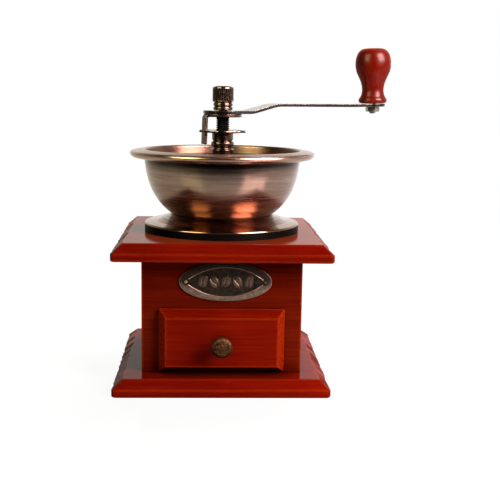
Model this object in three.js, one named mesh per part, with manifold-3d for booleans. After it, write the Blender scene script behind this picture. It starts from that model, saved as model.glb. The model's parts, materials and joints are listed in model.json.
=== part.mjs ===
// Hand-cranked burr coffee grinder: a lacquered wooden case with a drawer, a copper hopper bowl
// on a flared skirt, a conical burr set on a threaded spindle, and a crank with a turned knob.
// Millimetres, +Z up. The origin is the centre of the base board's underside, the front is -Y.

import * as THREE from "three";
import { mergeVertices } from "three/addons/utils/BufferGeometryUtils.js";
import Module from "manifold-3d";

const wasm = await Module();
wasm.setup();

// ---------------------------------------------------------------- driving dimensions

const GAP = 0.1;                       // between pieces that rest on each other
const TURNED_GAP = 0.3;                // between pieces that meet inside a turned group

const BOARD_SIDE = 120;                // base board and top board are the same square
const BOARD_CORNER = 2.2;              // radius of their upright corners
const EDGE_ROUND = 1.2;                // softened lower edge of both boards
const BASE_TOP = 9.2;                  // base board thickness
const BASE_CHAMFER = { start: 4.4, inset: 5.6 };
const TOP_BOARD = { bottom: 75, start: 79.3, top: 84.5, inset: 5.7 };

const CASE = { width: 89.4, depth: 82, wall: 7.5, corner: 1.4 };
const CASE_BOTTOM = BASE_TOP + GAP;
const CASE_TOP = TOP_BOARD.bottom - GAP;
const CASE_FRONT = -CASE.depth / 2;
const DRAWER_OPENING = { width: 63.4, top: 41 };

const DRAWER = { width: 62, wall: 4, top: 37.5, back: 27, floor: 2.4 };
const DRAWER_BOTTOM = BASE_TOP + 0.5;
const DRAWER_FRONT = { width: 70.2, bottom: 9.7, top: 46, thick: 7, edge: 1, inset: 4.3, sideInset: 3.9 };
const DRAWER_FRONT_BACK = CASE_FRONT - 0.3;
const DRAWER_KNOB = { z: 27.8, stem: 3, head: 5.7, reach: 11.4 };

const PLATE = { width: 51.5, height: 21.6, thick: 1.6, x: 1.9, z: 61.1, pin: 22 };
const PLATE_FIELD = { width: 44.4, height: 16.2, depth: 0.5 };
const PIN_RECESS = { radius: 1.65, depth: 0.7 };

const BOARD_HOLE = 26;                 // radius of the hole for the burr housing
const HOUSING = { outer: 25.7, bore: 21.3, bottom: 56, flange: 37, flangeThick: 2.8 };
const HUB = { bottom: 83, top: 91, radius: 7.2, armWidth: 4.4, armBottom: 84, armTop: 89.5 };
const RING_GROOVE = { bottom: 58.4, top: 60, depth: 1.5 };
const BOWL_FLOOR = 94.3;               // underside of the bowl's flat bottom
const SHEET = 1.2;                     // copper sheet thickness
const BOWL_WALL = 45.5;                // radius of the bowl's wall just under its lip
const BOWL_LIP = { mouth: 45, outer: 54, under: 126.1, top: 131.8 };
const SKIRT = { outer: 45.5, neck: 30, step: 34.2 };

const BURR = { bottom: 60.2, top: 80, split: 69, outer: 21, teeth: 24, flights: 6 };
const BRIDGE = { strap: 120, width: 13, thick: 2, reach: 27, screw: 23.5 };
const BUSH = { bottom: 115, body: 4.9, rim: 6.4, rimThick: 1.3 };

const SHAFT = { bearing: 4.1, thread: 3.65, top: 2.45, foot: 2.75, lowSquare: 5.6, topSquare: 5 };
const SHAFT_Z = { bottom: 52, burr: 59.9, shoulder: 78.5, collar: 99.7, square: 150.4 };
const SHAFT_END = 164.5;
const CAP_NUT_FOOT = 154.4;
const BURR_SPRING = { bottom: 101.4, top: 114.6, radius: 5.2, wire: 0.6, turns: 6 };

const NUT_FOOT = 122.6;                // underside of the adjusting nut, on the bush
const NUT_DISC = { bottom: 141.6, top: 142.9, radius: 13.7, notches: 6, notch: 5.3, root: 10.2 };
const CLIP = { top: 152.3, thick: 1.8, disc: 11, leg: 4.6, legX: 11.4, legEndX: 12, end: 134.8 };

const CRANK_ANGLE = THREE.MathUtils.degToRad(25.5);
const ARM = { thick: 1.8, hub: 11.5, reach: 106, eye: 8, waist: 5.8, root: 7.2 };
const ARM_HUB_MID = 153.3;             // mid-plane of the flat hub
const ARM_EYE_MID = 158.3;             // mid-plane under the knob
const ARM_SLOPE = THREE.MathUtils.degToRad(1.4);   // of the eye, which tilts the knob
const ARM_LEVEL = { from: 33.5, to: 88, fall: 0.15 };  // the long part is almost level
const KNOB_HEIGHT = 34.3;
const LOCK_NUT = { acrossFlats: 7.8, height: 3.1, turned: THREE.MathUtils.degToRad(-17.5) };

// Radii of the clearance holes for the screws and pins.
const SCREW_HOLES = { base: 2.1, housing: 1.9, pilot: 1.7, bridge: 1.7, pin: 0.9, bolt: 2.3 };

// ---------------------------------------------------------------- finishes

function finish(color, roughness, metalness) {
  return () => new THREE.MeshStandardMaterial({ color, roughness, metalness });
}

const lacqueredWood = finish(0x7e1705, 0.3, 0);
const plainWood = finish(0xb98a58, 0.7, 0);
const copper = finish(0x8a5a3c, 0.35, 1);
const bronze = finish(0x4a372a, 0.4, 1);
const darkSteel = finish(0x2b2826, 0.4, 1);
const brightSteel = finish(0x9a9a98, 0.35, 1);
const castIron = finish(0x4c4b4a, 0.6, 1);
const brass = finish(0xb08a4a, 0.35, 1);

// ---------------------------------------------------------------- solids and joins

// Joins shared corners, drops collapsed faces and turns the skin outwards.
function weld(geometry) {
  const bare = geometry.clone();
  bare.deleteAttribute("normal");
  bare.deleteAttribute("uv");
  const merged = mergeVertices(bare, 1e-4);
  const position = merged.attributes.position;
  const faces = [];
  let volume = 0;
  const [a, b, c] = [new THREE.Vector3(), new THREE.Vector3(), new THREE.Vector3()];
  for (let i = 0; i < merged.index.count; i += 3) {
    const [p, q, r] = [0, 1, 2].map((k) => merged.index.getX(i + k));
    if (p === q || q === r || r === p) continue;
    a.fromBufferAttribute(position, p);
    b.fromBufferAttribute(position, q);
    c.fromBufferAttribute(position, r);
    volume += a.dot(b.cross(c));
    faces.push([p, q, r]);
  }
  const outward = volume > 0 ? faces : faces.map(([p, q, r]) => [p, r, q]);
  const welded = new THREE.BufferGeometry();
  welded.setAttribute("position", position);
  welded.setIndex(outward.flat());
  return welded;
}

function toManifold(geometry) {
  const welded = weld(geometry);
  return new wasm.Manifold(new wasm.Mesh({
    numProp: 3,
    vertProperties: Float32Array.from(welded.attributes.position.array),
    triVerts: Uint32Array.from(welded.index.array),
  }));
}

function toGeometry(manifold) {
  const mesh = manifold.getMesh();
  const geometry = new THREE.BufferGeometry();
  geometry.setAttribute("position", new THREE.BufferAttribute(mesh.vertProperties, 3));
  geometry.setIndex(Array.from(mesh.triVerts));
  return geometry;
}

function cut(body, ...tools) {
  return toGeometry(tools.reduce((rest, tool) => rest.subtract(toManifold(tool)), toManifold(body)));
}

function join(...pieces) {
  return toGeometry(pieces.map(toManifold).reduce((sum, piece) => sum.add(piece)));
}

function overlap(one, other) {
  return toGeometry(toManifold(one).intersect(toManifold(other)));
}

function sub(name, geometry, material) {
  const mesh = new THREE.Mesh(weld(geometry), material());
  mesh.geometry.computeVertexNormals();
  mesh.name = name;
  return mesh;
}

// ---------------------------------------------------------------- basic forms

function box(x0, x1, y0, y1, z0, z1) {
  const block = new THREE.BoxGeometry(x1 - x0, y1 - y0, z1 - z0);
  return block.translate((x0 + x1) / 2, (y0 + y1) / 2, (z0 + z1) / 2);
}

// An outline in plan, extruded upwards.
function extrudeUp(shape, z0, z1, curveSegments = 12) {
  const options = { depth: z1 - z0, bevelEnabled: false, curveSegments };
  const geometry = new THREE.ExtrudeGeometry(shape, options);
  return geometry.translate(0, 0, z0);
}

// An outline in the XZ plane, extruded along Y.
function extrudeAlongY(shape, y0, y1, curveSegments = 12) {
  const options = { depth: y1 - y0, bevelEnabled: false, curveSegments };
  const geometry = new THREE.ExtrudeGeometry(shape, options);
  return geometry.rotateX(Math.PI / 2).translate(0, y1, 0);
}

// A profile of [radius, height] pairs, turned about the Z axis.
function turn(profile, segments = 40) {
  const points = profile.map(([radius, height]) => new THREE.Vector2(radius, height));
  return new THREE.LatheGeometry(points, segments).rotateX(Math.PI / 2);
}

// A tube with a rectangular section: a washer, bush or bored disc.
function tube(inner, outer, z0, z1, segments = 32) {
  return turn([[inner, z0], [outer, z0], [outer, z1], [inner, z1], [inner, z0]], segments);
}

function cylinder(radius, z0, z1, segments = 24, x = 0, y = 0) {
  return turn([[0, z0], [radius, z0], [radius, z1], [0, z1]], segments).translate(x, y, 0);
}

// Points on a cubic curve between two profile corners, without the first one.
function curve(from, pullFrom, pullTo, to, steps) {
  const corners = [from, pullFrom, pullTo, to].map((p) => new THREE.Vector2(...p));
  const bezier = new THREE.CubicBezierCurve(...corners);
  return bezier.getPoints(steps).slice(1).map((p) => [p.x, p.y]);
}

// Skins a stack of rings that all have the same number of points, with a fan on each end.
function loft(rings) {
  const count = rings[0].length;
  const positions = rings.flat().flatMap((p) => [p.x, p.y, p.z]);
  const faces = [];
  for (let level = 0; level + 1 < rings.length; level += 1) {
    for (let i = 0; i < count; i += 1) {
      const next = (i + 1) % count;
      const [a, b] = [level * count + i, level * count + next];
      faces.push(a, b, b + count, a, b + count, a + count);
    }
  }
  for (const [ring, start] of [[rings[0], 0], [rings.at(-1), (rings.length - 1) * count]]) {
    const centre = ring.reduce((sum, p) => sum.add(p), new THREE.Vector3()).divideScalar(count);
    const hub = positions.length / 3;
    positions.push(centre.x, centre.y, centre.z);
    for (let i = 0; i < count; i += 1) {
      const next = (i + 1) % count;
      faces.push(...(start === 0 ? [hub, start + next, start + i] : [hub, start + i, start + next]));
    }
  }
  const geometry = new THREE.BufferGeometry();
  geometry.setAttribute("position", new THREE.Float32BufferAttribute(positions, 3));
  geometry.setIndex(faces);
  return geometry;
}

// One level of a board: a rectangle with round corners, as points at height z.
function roundedRing(halfX, halfY, corner, z, steps = 3) {
  const centres = [[1, 1], [-1, 1], [-1, -1], [1, -1]];
  return centres.flatMap(([sx, sy], quarter) => Array.from({ length: steps + 1 }, (_, i) => {
    const angle = (quarter + i / steps) * Math.PI / 2;
    const x = sx * (halfX - corner) + corner * Math.cos(angle);
    const y = sy * (halfY - corner) + corner * Math.sin(angle);
    return new THREE.Vector3(x, y, z);
  }));
}

// The outline of a bent strip: the centreline's corners are rounded, then offset to both sides.
function stripOutline(corners, bend, thick) {
  const points = corners.map(([x, z]) => new THREE.Vector2(x, z));
  const path = new THREE.Path();
  path.moveTo(points[0].x, points[0].y);
  for (let i = 1; i + 1 < points.length; i += 1) {
    const before = points[i - 1].clone().sub(points[i]).setLength(bend).add(points[i]);
    const after = points[i + 1].clone().sub(points[i]).setLength(bend).add(points[i]);
    path.lineTo(before.x, before.y);
    path.quadraticCurveTo(points[i].x, points[i].y, after.x, after.y);
  }
  path.lineTo(points.at(-1).x, points.at(-1).y);
  const line = path.getPoints(4);
  const side = (offset) => line.map((p, i) => {
    const ahead = line[Math.min(i + 1, line.length - 1)];
    const behind = line[Math.max(i - 1, 0)];
    const along = ahead.clone().sub(behind).normalize();
    return new THREE.Vector2(p.x - along.y * offset, p.y + along.x * offset);
  });
  return new THREE.Shape([...side(thick / 2), ...side(-thick / 2).reverse()]);
}

// A hexagon nut with a plain bore.
function hexNut(acrossFlats, bore, z0, z1) {
  const corner = acrossFlats / 2 / Math.cos(Math.PI / 6);
  return cut(cylinder(corner, z0, z1, 6), cylinder(bore, z0 - 1, z1 + 1, 14));
}

// A pan head with its shank below it, head resting at height z.
function panScrew(x, y, z, head, headHeight, shank, length) {
  const shankLine = [[0, z - length], [shank, z - length], [shank, z]];
  const crown = [[head, z], [head, z + headHeight / 2], [head * 0.6, z + headHeight]];
  return turn([...shankLine, ...crown, [0, z + headHeight]], 10).translate(x, y, 0);
}

// ---------------------------------------------------------------- wooden case

function board(bottom, chamferStart, top, inset) {
  const half = BOARD_SIDE / 2;
  const levels = [
    [bottom, EDGE_ROUND * 0.8],
    [bottom + EDGE_ROUND, 0],
    [chamferStart, 0],
    [top, inset],
  ];
  return loft(levels.map(([z, step]) => {
    const corner = Math.max(BOARD_CORNER - step * 0.3, 0.5);
    return roundedRing(half - step, half - step, corner, z);
  }));
}

const BASE_SCREWS = [[-1, -1], [1, -1], [-1, 1], [1, 1]].map(([sx, sy]) => {
  return [sx * (CASE.width - CASE.wall) / 2, sy * 24];
});

function baseBoard() {
  const body = board(0, BASE_CHAMFER.start, BASE_TOP, BASE_CHAMFER.inset);
  const holes = BASE_SCREWS.map(([x, y]) => {
    const shank = SCREW_HOLES.base;
    const countersink = [[0, -1], [4.1, -1], [4.1, 0.3], [shank, 2.8], [shank, 12], [0, 12]];
    return turn(countersink, 10).translate(x, y, 0);
  });
  return cut(body, ...holes);
}

function baseScrew([x, y]) {
  return turn([[0, 0.4], [3.6, 0.4], [1.8, 2.9], [1.8, 26], [0, 29]], 10).translate(x, y, 0);
}

function topBoard() {
  const body = board(TOP_BOARD.bottom, TOP_BOARD.start, TOP_BOARD.top, TOP_BOARD.inset);
  const pilots = HOUSING_SCREWS.map(([x, y]) => {
    return cylinder(SCREW_HOLES.pilot, TOP_BOARD.bottom + 1, 90, 10, x, y);
  });
  return cut(body, cylinder(BOARD_HOLE, 70, 90, 32), ...pilots);
}

function casePanel(y0, y1) {
  const ring = (z) => roundedRing(CASE.width / 2, (y1 - y0) / 2, CASE.corner, z, 3);
  return loft([ring(CASE_BOTTOM), ring(CASE_TOP)]).translate(0, (y0 + y1) / 2, 0);
}

function caseFront() {
  const half = DRAWER_OPENING.width / 2;
  const opening = box(-half, half, -60, 0, 0, DRAWER_OPENING.top);
  const pinHoles = [-1, 1].map((side) => {
    const hole = cylinder(SCREW_HOLES.pin, -6, 6, 10).rotateX(Math.PI / 2);
    return hole.translate(PLATE.x + side * PLATE.pin, CASE_FRONT, PLATE.z);
  });
  return cut(casePanel(CASE_FRONT, CASE_FRONT + CASE.wall), opening, ...pinHoles);
}

function caseSide(side) {
  const outer = side * CASE.width / 2;
  const inner = outer - side * CASE.wall;
  const depth = CASE.depth / 2 - CASE.wall - GAP;
  const panel = box(Math.min(outer, inner), Math.max(outer, inner), -depth, depth, CASE_BOTTOM, CASE_TOP);
  const pilots = BASE_SCREWS.filter(([x]) => x * side > 0).map(([x, y]) => {
    return cylinder(SCREW_HOLES.base, 0, 31, 10, x, y);
  });
  return cut(panel, ...pilots);
}

function drawerGuide(side) {
  const inner = side * (DRAWER.width / 2 + 0.5);
  const outer = side * (CASE.width / 2 - CASE.wall - GAP);
  const depth = CASE.depth / 2 - CASE.wall - GAP;
  return box(Math.min(inner, outer), Math.max(inner, outer), -depth, depth, CASE_BOTTOM, CASE_BOTTOM + 8);
}

function wooden() {
  return [
    sub("base_board", baseBoard(), lacqueredWood),
    sub("body_front", caseFront(), lacqueredWood),
    sub("body_back", casePanel(-CASE_FRONT - CASE.wall, -CASE_FRONT), lacqueredWood),
    sub("body_left", caseSide(-1), lacqueredWood),
    sub("body_right", caseSide(1), lacqueredWood),
    sub("top_board", topBoard(), lacqueredWood),
    sub("drawer_guide_left", drawerGuide(-1), plainWood),
    sub("drawer_guide_right", drawerGuide(1), plainWood),
    ...BASE_SCREWS.map((place, i) => sub(`base_screw_${i + 1}`, baseScrew(place), brass)),
  ];
}

// ---------------------------------------------------------------- name plate, with no name on it

// Two circular arcs that meet in a point at each end.
function pointedOval(width, height) {
  const [a, b] = [width / 2, height / 2];
  const radius = (a * a + b * b) / (2 * b);
  const spread = Math.asin(a / radius);
  const shape = new THREE.Shape();
  shape.absarc(0, radius - b, radius, -Math.PI / 2 - spread, -Math.PI / 2 + spread, false);
  shape.absarc(0, b - radius, radius, Math.PI / 2 - spread, Math.PI / 2 + spread, false);
  return shape;
}

function namePlate() {
  const oval = new THREE.Shape().absellipse(0, 0, PLATE.width / 2, PLATE.height / 2, 0, 2 * Math.PI);
  const back = CASE_FRONT - GAP;
  const face = back - PLATE.thick;
  const fieldOutline = pointedOval(PLATE_FIELD.width, PLATE_FIELD.height);
  const field = extrudeAlongY(fieldOutline, face - 1, face + PLATE_FIELD.depth, 7);
  const { radius, depth } = PIN_RECESS;
  const { pin } = SCREW_HOLES;
  const stepped = [[0, -5], [pin, -5], [pin, -depth], [radius, -depth], [radius, 2], [0, 2]];
  const pinHoles = [-1, 1].map((side) => {
    return turn(stepped, 12).rotateX(Math.PI / 2).translate(side * PLATE.pin, face, 0);
  });
  const plate = cut(extrudeAlongY(oval, face, back, 20), field, ...pinHoles);
  return plate.translate(PLATE.x, 0, PLATE.z);
}

function platePin(side) {
  const seat = -PIN_RECESS.depth + 0.05;
  const head = [[1.15, seat], [1.15, seat + 0.4], [0.7, seat + 0.75], [0, seat + 0.75]];
  const pin = turn([[0, -6.5], [0.6, -6.5], [0.6, seat], ...head], 8).rotateX(Math.PI / 2);
  return pin.translate(PLATE.x + side * PLATE.pin, CASE_FRONT - GAP - PLATE.thick, PLATE.z);
}

function plate() {
  return [
    sub("name_plate", namePlate(), bronze),
    sub("name_plate_pin_left", platePin(-1), brass),
    sub("name_plate_pin_right", platePin(1), brass),
  ];
}

// ---------------------------------------------------------------- hopper

const BRIDGE_SCREWS = [[-BRIDGE.screw, 0], [BRIDGE.screw, 0]];

// One long hole per screw: it runs through the strap's foot, the bowl and into the housing.
function bridgeScrewHoles() {
  return BRIDGE_SCREWS.map(([x, y]) => cylinder(SCREW_HOLES.bridge, 82, 100, 10, x, y));
}

function hopperBowl() {
  const { mouth, outer, under, top } = BOWL_LIP;
  const throat = HOUSING.bore + 0.3;
  const profile = [
    [throat, BOWL_FLOOR],
    [29.6, BOWL_FLOOR],
    ...curve([29.6, BOWL_FLOOR], [39.6, 101.6], [44.5, 112], [BOWL_WALL, under], 6),
    ...curve([BOWL_WALL, under], [50.4, under], [outer, under + 0.9], [outer, under + 3.4], 4),
    ...curve([outer, under + 3.4], [outer, top - 1.3], [52.8, top - 0.8], [51, top - 0.6], 2),
    [mouth + 1, top],
    [mouth, top - 1.2],
    ...curve([mouth, top - 1.2], [43.6, 113.4], [38.4, 103], [28.6, BOWL_FLOOR + SHEET], 4),
    [throat, BOWL_FLOOR + SHEET],
    [throat, BOWL_FLOOR],
  ];
  return cut(turn(profile, 36), ...bridgeScrewHoles());
}

function bowlSkirt() {
  const { outer, neck, step } = SKIRT;
  const foot = TOP_BOARD.top + GAP;
  const top = BOWL_FLOOR - GAP;
  return turn([
    [outer - SHEET, foot],
    [outer, foot],
    [outer, 88],
    ...curve([outer, 88], [outer, 89.3], [outer - 0.9, 89.6], [outer - 2, 89.8], 2),
    ...curve([outer - 2, 89.8], [40, 90.4], [37, 91], [step, 91.6], 2),
    [step - 0.4, 92.5],
    [step - 1.5, 92.4],
    ...curve([step - 1.5, 92.4], [31.6, 92.6], [neck + 0.4, 93.2], [neck, top], 2),
    [neck - SHEET, top],
    [neck - SHEET, 92.6],
    [step - 1.8, 91],
    [outer - 3, 88.5],
    [outer - SHEET, 87.4],
    [outer - SHEET, foot],
  ], 34);
}

// The strap that carries the upper bearing: feet on the bowl's floor, legs leaning in.
function bridge() {
  const { strap, width, thick, reach } = BRIDGE;
  const floor = BOWL_FLOOR + SHEET + GAP + thick / 2;
  const half = [[reach, floor], [19.2, floor], [14.6, strap]];
  const mirrored = half.map(([x, z]) => [-x, z]).reverse();
  const strip = extrudeAlongY(stripOutline([...half, ...mirrored], 2.2, thick), -width / 2, width / 2);
  return cut(strip, cylinder(BUSH.body + TURNED_GAP, strap - 3, strap + 3, 24), ...bridgeScrewHoles());
}

function bridgeBush() {
  const { bottom, body, rim, rimThick } = BUSH;
  const bore = SHAFT.thread + 0.2;
  const rimFoot = BRIDGE.strap + BRIDGE.thick / 2 + GAP;
  return turn([
    [bore, bottom],
    [body, bottom],
    [body, rimFoot],
    [rim, rimFoot],
    [rim, rimFoot + rimThick],
    [bore, rimFoot + rimThick],
    [bore, bottom],
  ], 16);
}

function hopper() {
  const screwZ = BOWL_FLOOR + SHEET + BRIDGE.thick + 2 * GAP;
  return [
    sub("hopper_bowl", hopperBowl(), copper),
    sub("bowl_skirt", bowlSkirt(), copper),
    sub("bridge", bridge(), darkSteel),
    sub("bridge_bush", bridgeBush(), brass),
    ...BRIDGE_SCREWS.map(([x, y], i) => {
      return sub(`bridge_screw_${i + 1}`, panScrew(x, y, screwZ, 2.6, 1.8, 1.4, 12), brightSteel);
    }),
  ];
}

// ---------------------------------------------------------------- burr set

const HOUSING_SCREWS = [90, 210, 330].map((degrees) => {
  const angle = THREE.MathUtils.degToRad(degrees);
  return [31.5 * Math.cos(angle), 31.5 * Math.sin(angle)];
});

// A cast cup: flange on the top board, seat for the ring burr, and a three-armed hub above it.
function burrHousing() {
  const { outer, bore, bottom, flange, flangeThick } = HOUSING;
  const seat = BURR.top + 0.3;
  const flangeFoot = TOP_BOARD.top + GAP;
  const wall = turn([
    [bore, bottom],
    [outer, bottom],
    [outer, flangeFoot],
    [flange, flangeFoot],
    [flange, flangeFoot + flangeThick],
    [outer, flangeFoot + flangeThick],
    [outer, BOWL_FLOOR - GAP],
    [bore, BOWL_FLOOR - GAP],
    [bore, seat + 3.7],
    [bore - 2, seat + 1.7],
    [bore - 2, seat],
    [bore, seat],
    [bore, RING_GROOVE.top],
    [bore + RING_GROOVE.depth, RING_GROOVE.top],
    [bore + RING_GROOVE.depth, RING_GROOVE.bottom],
    [bore, RING_GROOVE.bottom],
    [bore, bottom],
  ], 30);
  const armHalf = HUB.armWidth / 2;
  const arm = box(5, bore + 1, -armHalf, armHalf, HUB.armBottom, HUB.armTop);
  const arms = [30, 150, 270].map((degrees) => arm.clone().rotateZ(THREE.MathUtils.degToRad(degrees)));
  const hub = turn([
    [0, HUB.bottom],
    [HUB.radius - 0.8, HUB.bottom],
    [HUB.radius, HUB.bottom + 1],
    [HUB.radius, HUB.top - 1],
    [HUB.radius - 1, HUB.top],
    [0, HUB.top],
  ], 20);
  const keyways = [0, Math.PI].map((angle) => box(20, bore + 1.5, -1.9, 1.9, 50, seat).rotateZ(angle));
  const screwHoles = HOUSING_SCREWS.map(([x, y]) => cylinder(SCREW_HOLES.housing, 80, 92, 10, x, y));
  const shaftBore = cylinder(SHAFT.bearing + 0.15, 80, 95, 20);
  const holes = [...screwHoles, ...bridgeScrewHoles()];
  return cut(join(wall, hub, ...arms), shaftBore, ...keyways, ...holes);
}

// A ring of saw teeth: each tooth leans from its root radius to its tip radius.
function toothedRing(z, count, root, tip, turnAngle, perTooth) {
  return Array.from({ length: count * perTooth }, (_, i) => {
    const phase = (i % perTooth) / perTooth;
    const radius = root + (tip - root) * Math.pow(phase, 0.7);
    const angle = (i / (count * perTooth)) * 2 * Math.PI + turnAngle;
    return new THREE.Vector3(radius * Math.cos(angle), radius * Math.sin(angle), z);
  });
}

// A stack of toothed rings: helical teeth whose radii run between the values at both ends.
function helicalTeeth({ z0, z1, count, roots, tips, twist, perTooth, steps }) {
  return loft(Array.from({ length: steps + 1 }, (_, i) => {
    const t = i / steps;
    const root = THREE.MathUtils.lerp(roots[0], roots[1], t);
    const tip = THREE.MathUtils.lerp(tips[0], tips[1], t);
    const z = THREE.MathUtils.lerp(z0, z1, t);
    return toothedRing(z, count, root, tip, THREE.MathUtils.degToRad(twist) * t, perTooth);
  }));
}

// The turning cone: fine teeth below, six feeding flights above, on a square hole.
function innerBurr() {
  const grinding = helicalTeeth({
    z0: BURR.bottom, z1: BURR.split, count: BURR.teeth, roots: [16.1, 13.4], tips: [17.2, 14.6],
    twist: 10, perTooth: 2, steps: 2,
  });
  const feeding = helicalTeeth({
    z0: BURR.split - 0.5, z1: SHAFT_Z.shoulder - GAP,
    count: BURR.flights, roots: [10.6, 6.4], tips: [14.2, 8.8],
    twist: 70, perTooth: 4, steps: 6,
  });
  const half = SHAFT.lowSquare / 2 + TURNED_GAP;
  return cut(join(grinding, feeding), box(-half, half, -half, half, 50, 90));
}

// The standing ring: the same teeth leaning the other way, and two keys that stop it turning.
function outerBurr() {
  const ring = cylinder(BURR.outer, BURR.bottom, BURR.top, 32);
  const keys = [0, Math.PI].map((angle) => {
    return box(18, HOUSING.bore + 1.1, -1.6, 1.6, BURR.bottom, BURR.top).rotateZ(angle);
  });
  const grinding = helicalTeeth({
    z0: BURR.bottom - 1, z1: BURR.split, count: BURR.teeth, roots: [17.8, 16.2], tips: [18.8, 17.2],
    twist: -10, perTooth: 2, steps: 2,
  });
  const feeding = helicalTeeth({
    z0: BURR.split - 0.5, z1: BURR.top + 1,
    count: BURR.flights + 2, roots: [16.4, 17.2], tips: [18.6, 19.4],
    twist: -50, perTooth: 4, steps: 5,
  });
  return cut(join(ring, ...keys), grinding, feeding);
}

// A spring ring in the housing's groove, open at one side.
function retainingRing() {
  const outer = HOUSING.bore + RING_GROOVE.depth - TURNED_GAP;
  const ring = tube(19.7, outer, RING_GROOVE.bottom + TURNED_GAP, RING_GROOVE.top - 0.2, 24);
  return cut(ring, box(-2.5, 2.5, 0, 30, 50, 70));
}

function burrSet() {
  const screwZ = TOP_BOARD.top + HOUSING.flangeThick + 2 * GAP;
  return [
    sub("burr_housing", burrHousing(), castIron),
    sub("outer_burr", outerBurr(), brightSteel),
    sub("burr_retaining_ring", retainingRing(), darkSteel),
    ...HOUSING_SCREWS.map(([x, y], i) => {
      return sub(`housing_screw_${i + 1}`, panScrew(x, y, screwZ, 2.9, 1.6, 1.5, 10), brass);
    }),
  ];
}

// ---------------------------------------------------------------- spindle and adjuster

function spindleShaft() {
  const { bottom, burr, shoulder, collar, square } = SHAFT_Z;
  const round = turn([
    [0, bottom],
    [SHAFT.foot, bottom],
    [SHAFT.foot, shoulder],
    [SHAFT.bearing, shoulder],
    [SHAFT.bearing, collar],
    [SHAFT.thread, collar],
    [SHAFT.thread, square],
    [SHAFT.top, square],
    [SHAFT.top, SHAFT_END],
    [0, SHAFT_END],
  ], 18);
  const low = SHAFT.lowSquare / 2;
  const high = SHAFT.topSquare / 2;
  const burrSquare = box(-low, low, -low, low, burr, shoulder);
  const crankSquare = box(-high, high, -high, high, square, CAP_NUT_FOOT - TURNED_GAP);
  return join(round, burrSquare, crankSquare);
}

// A helix whose first and last turns lie flat, as a closed spring end does.
class SpringLine extends THREE.Curve {
  getPoint(t, target = new THREE.Vector3()) {
    const { bottom, top, radius, wire, turns } = BURR_SPRING;
    const angle = t * turns * 2 * Math.PI;
    const rise = THREE.MathUtils.clamp((t * turns - 0.8) / (turns - 1.6), 0, 1);
    const low = bottom + wire + t * turns * 0.05;
    const high = top - wire - (1 - t) * turns * 0.05;
    const z = THREE.MathUtils.lerp(low, high, THREE.MathUtils.smoothstep(rise, 0, 1) * 0.3 + rise * 0.7);
    return target.set(radius * Math.cos(angle), radius * Math.sin(angle), z);
  }
}

function burrSpring() {
  const { wire, turns } = BURR_SPRING;
  const section = new THREE.Shape().absarc(0, 0, wire, 0, 2 * Math.PI);
  const steps = turns * 9;
  return new THREE.ExtrudeGeometry(section, { steps, curveSegments: 3, extrudePath: new SpringLine() });
}

// The threaded collar that sets the grind, with the notched disc that the clip locks.
function adjustingNut() {
  const bore = SHAFT.thread + 0.2;
  const { bottom, top, radius, notches, notch, root } = NUT_DISC;
  const body = turn([
    [bore, NUT_FOOT],
    [6.24, NUT_FOOT],
    [6.24, 130.8],
    [6.65, 131],
    [6.65, 131.6],
    [5.65, 132.4],
    [5.65, 133.4],
    ...curve([5.65, 133.4], [6.7, 133.9], [6.7, 136.1], [5.7, 136.5], 3),
    [5.7, 137],
    [6.25, 137.6],
    [6.25, bottom],
    [radius - 0.3, bottom],
    [radius, bottom + 0.3],
    [radius, top - 0.3],
    [radius - 0.3, top],
    [bore, top],
    [bore, NUT_FOOT],
  ], 24);
  const slot = box(-radius - 2, -root, -notch / 2, notch / 2, bottom - 1, top + 1);
  const slots = Array.from({ length: notches }, (_, i) => slot.clone().rotateZ(i * 2 * Math.PI / notches));
  return cut(body, ...slots);
}

// A round plate keyed on the square, with one leg bent down through a notch of the disc.
function lockingClip() {
  const { top, thick, disc, leg, legX, legEndX, end } = CLIP;
  const edge = disc - 1.4;
  const corner = Math.acos(edge / disc);
  const plan = new THREE.Shape();
  plan.absarc(0, 0, disc, -Math.PI + corner, Math.PI - corner, false);
  plan.closePath();
  const mid = top - thick / 2;
  const profile = stripOutline([[-3, mid], [-legX + 0.05, mid], [-legEndX, end]], 2, thick);
  const strap = extrudeAlongY(profile, -leg / 2, leg / 2);
  const half = SHAFT.topSquare / 2 + TURNED_GAP;
  return cut(join(extrudeUp(plan, top - thick, top, 18), strap), box(-half, half, -half, half, 140, 160));
}

// The fluted cap nut that clamps the crank: two beads, a knurled grip and a low dome.
function crankNut() {
  const foot = CAP_NUT_FOOT;
  const bore = SHAFT.top + 0.25;
  return turn([
    [0, SHAFT_END + 0.6],
    [bore, SHAFT_END + 0.6],
    [bore, foot],
    [4.9, foot],
    ...curve([4.9, foot], [5.85, foot + 0.4], [5.85, foot + 1.8], [5, foot + 2.2], 3),
    ...curve([5, foot + 2.2], [5.85, foot + 2.5], [5.85, foot + 4], [5.2, foot + 4.3], 3),
    [5.8, foot + 4.7],
    [6.1, foot + 5.1],
    [6.1, foot + 12.4],
    ...curve([6.1, foot + 12.4], [6, foot + 13.2], [5.3, foot + 13.8], [4.3, foot + 13.8], 3),
    [0, foot + 13.8],
  ], 18);
}

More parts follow.
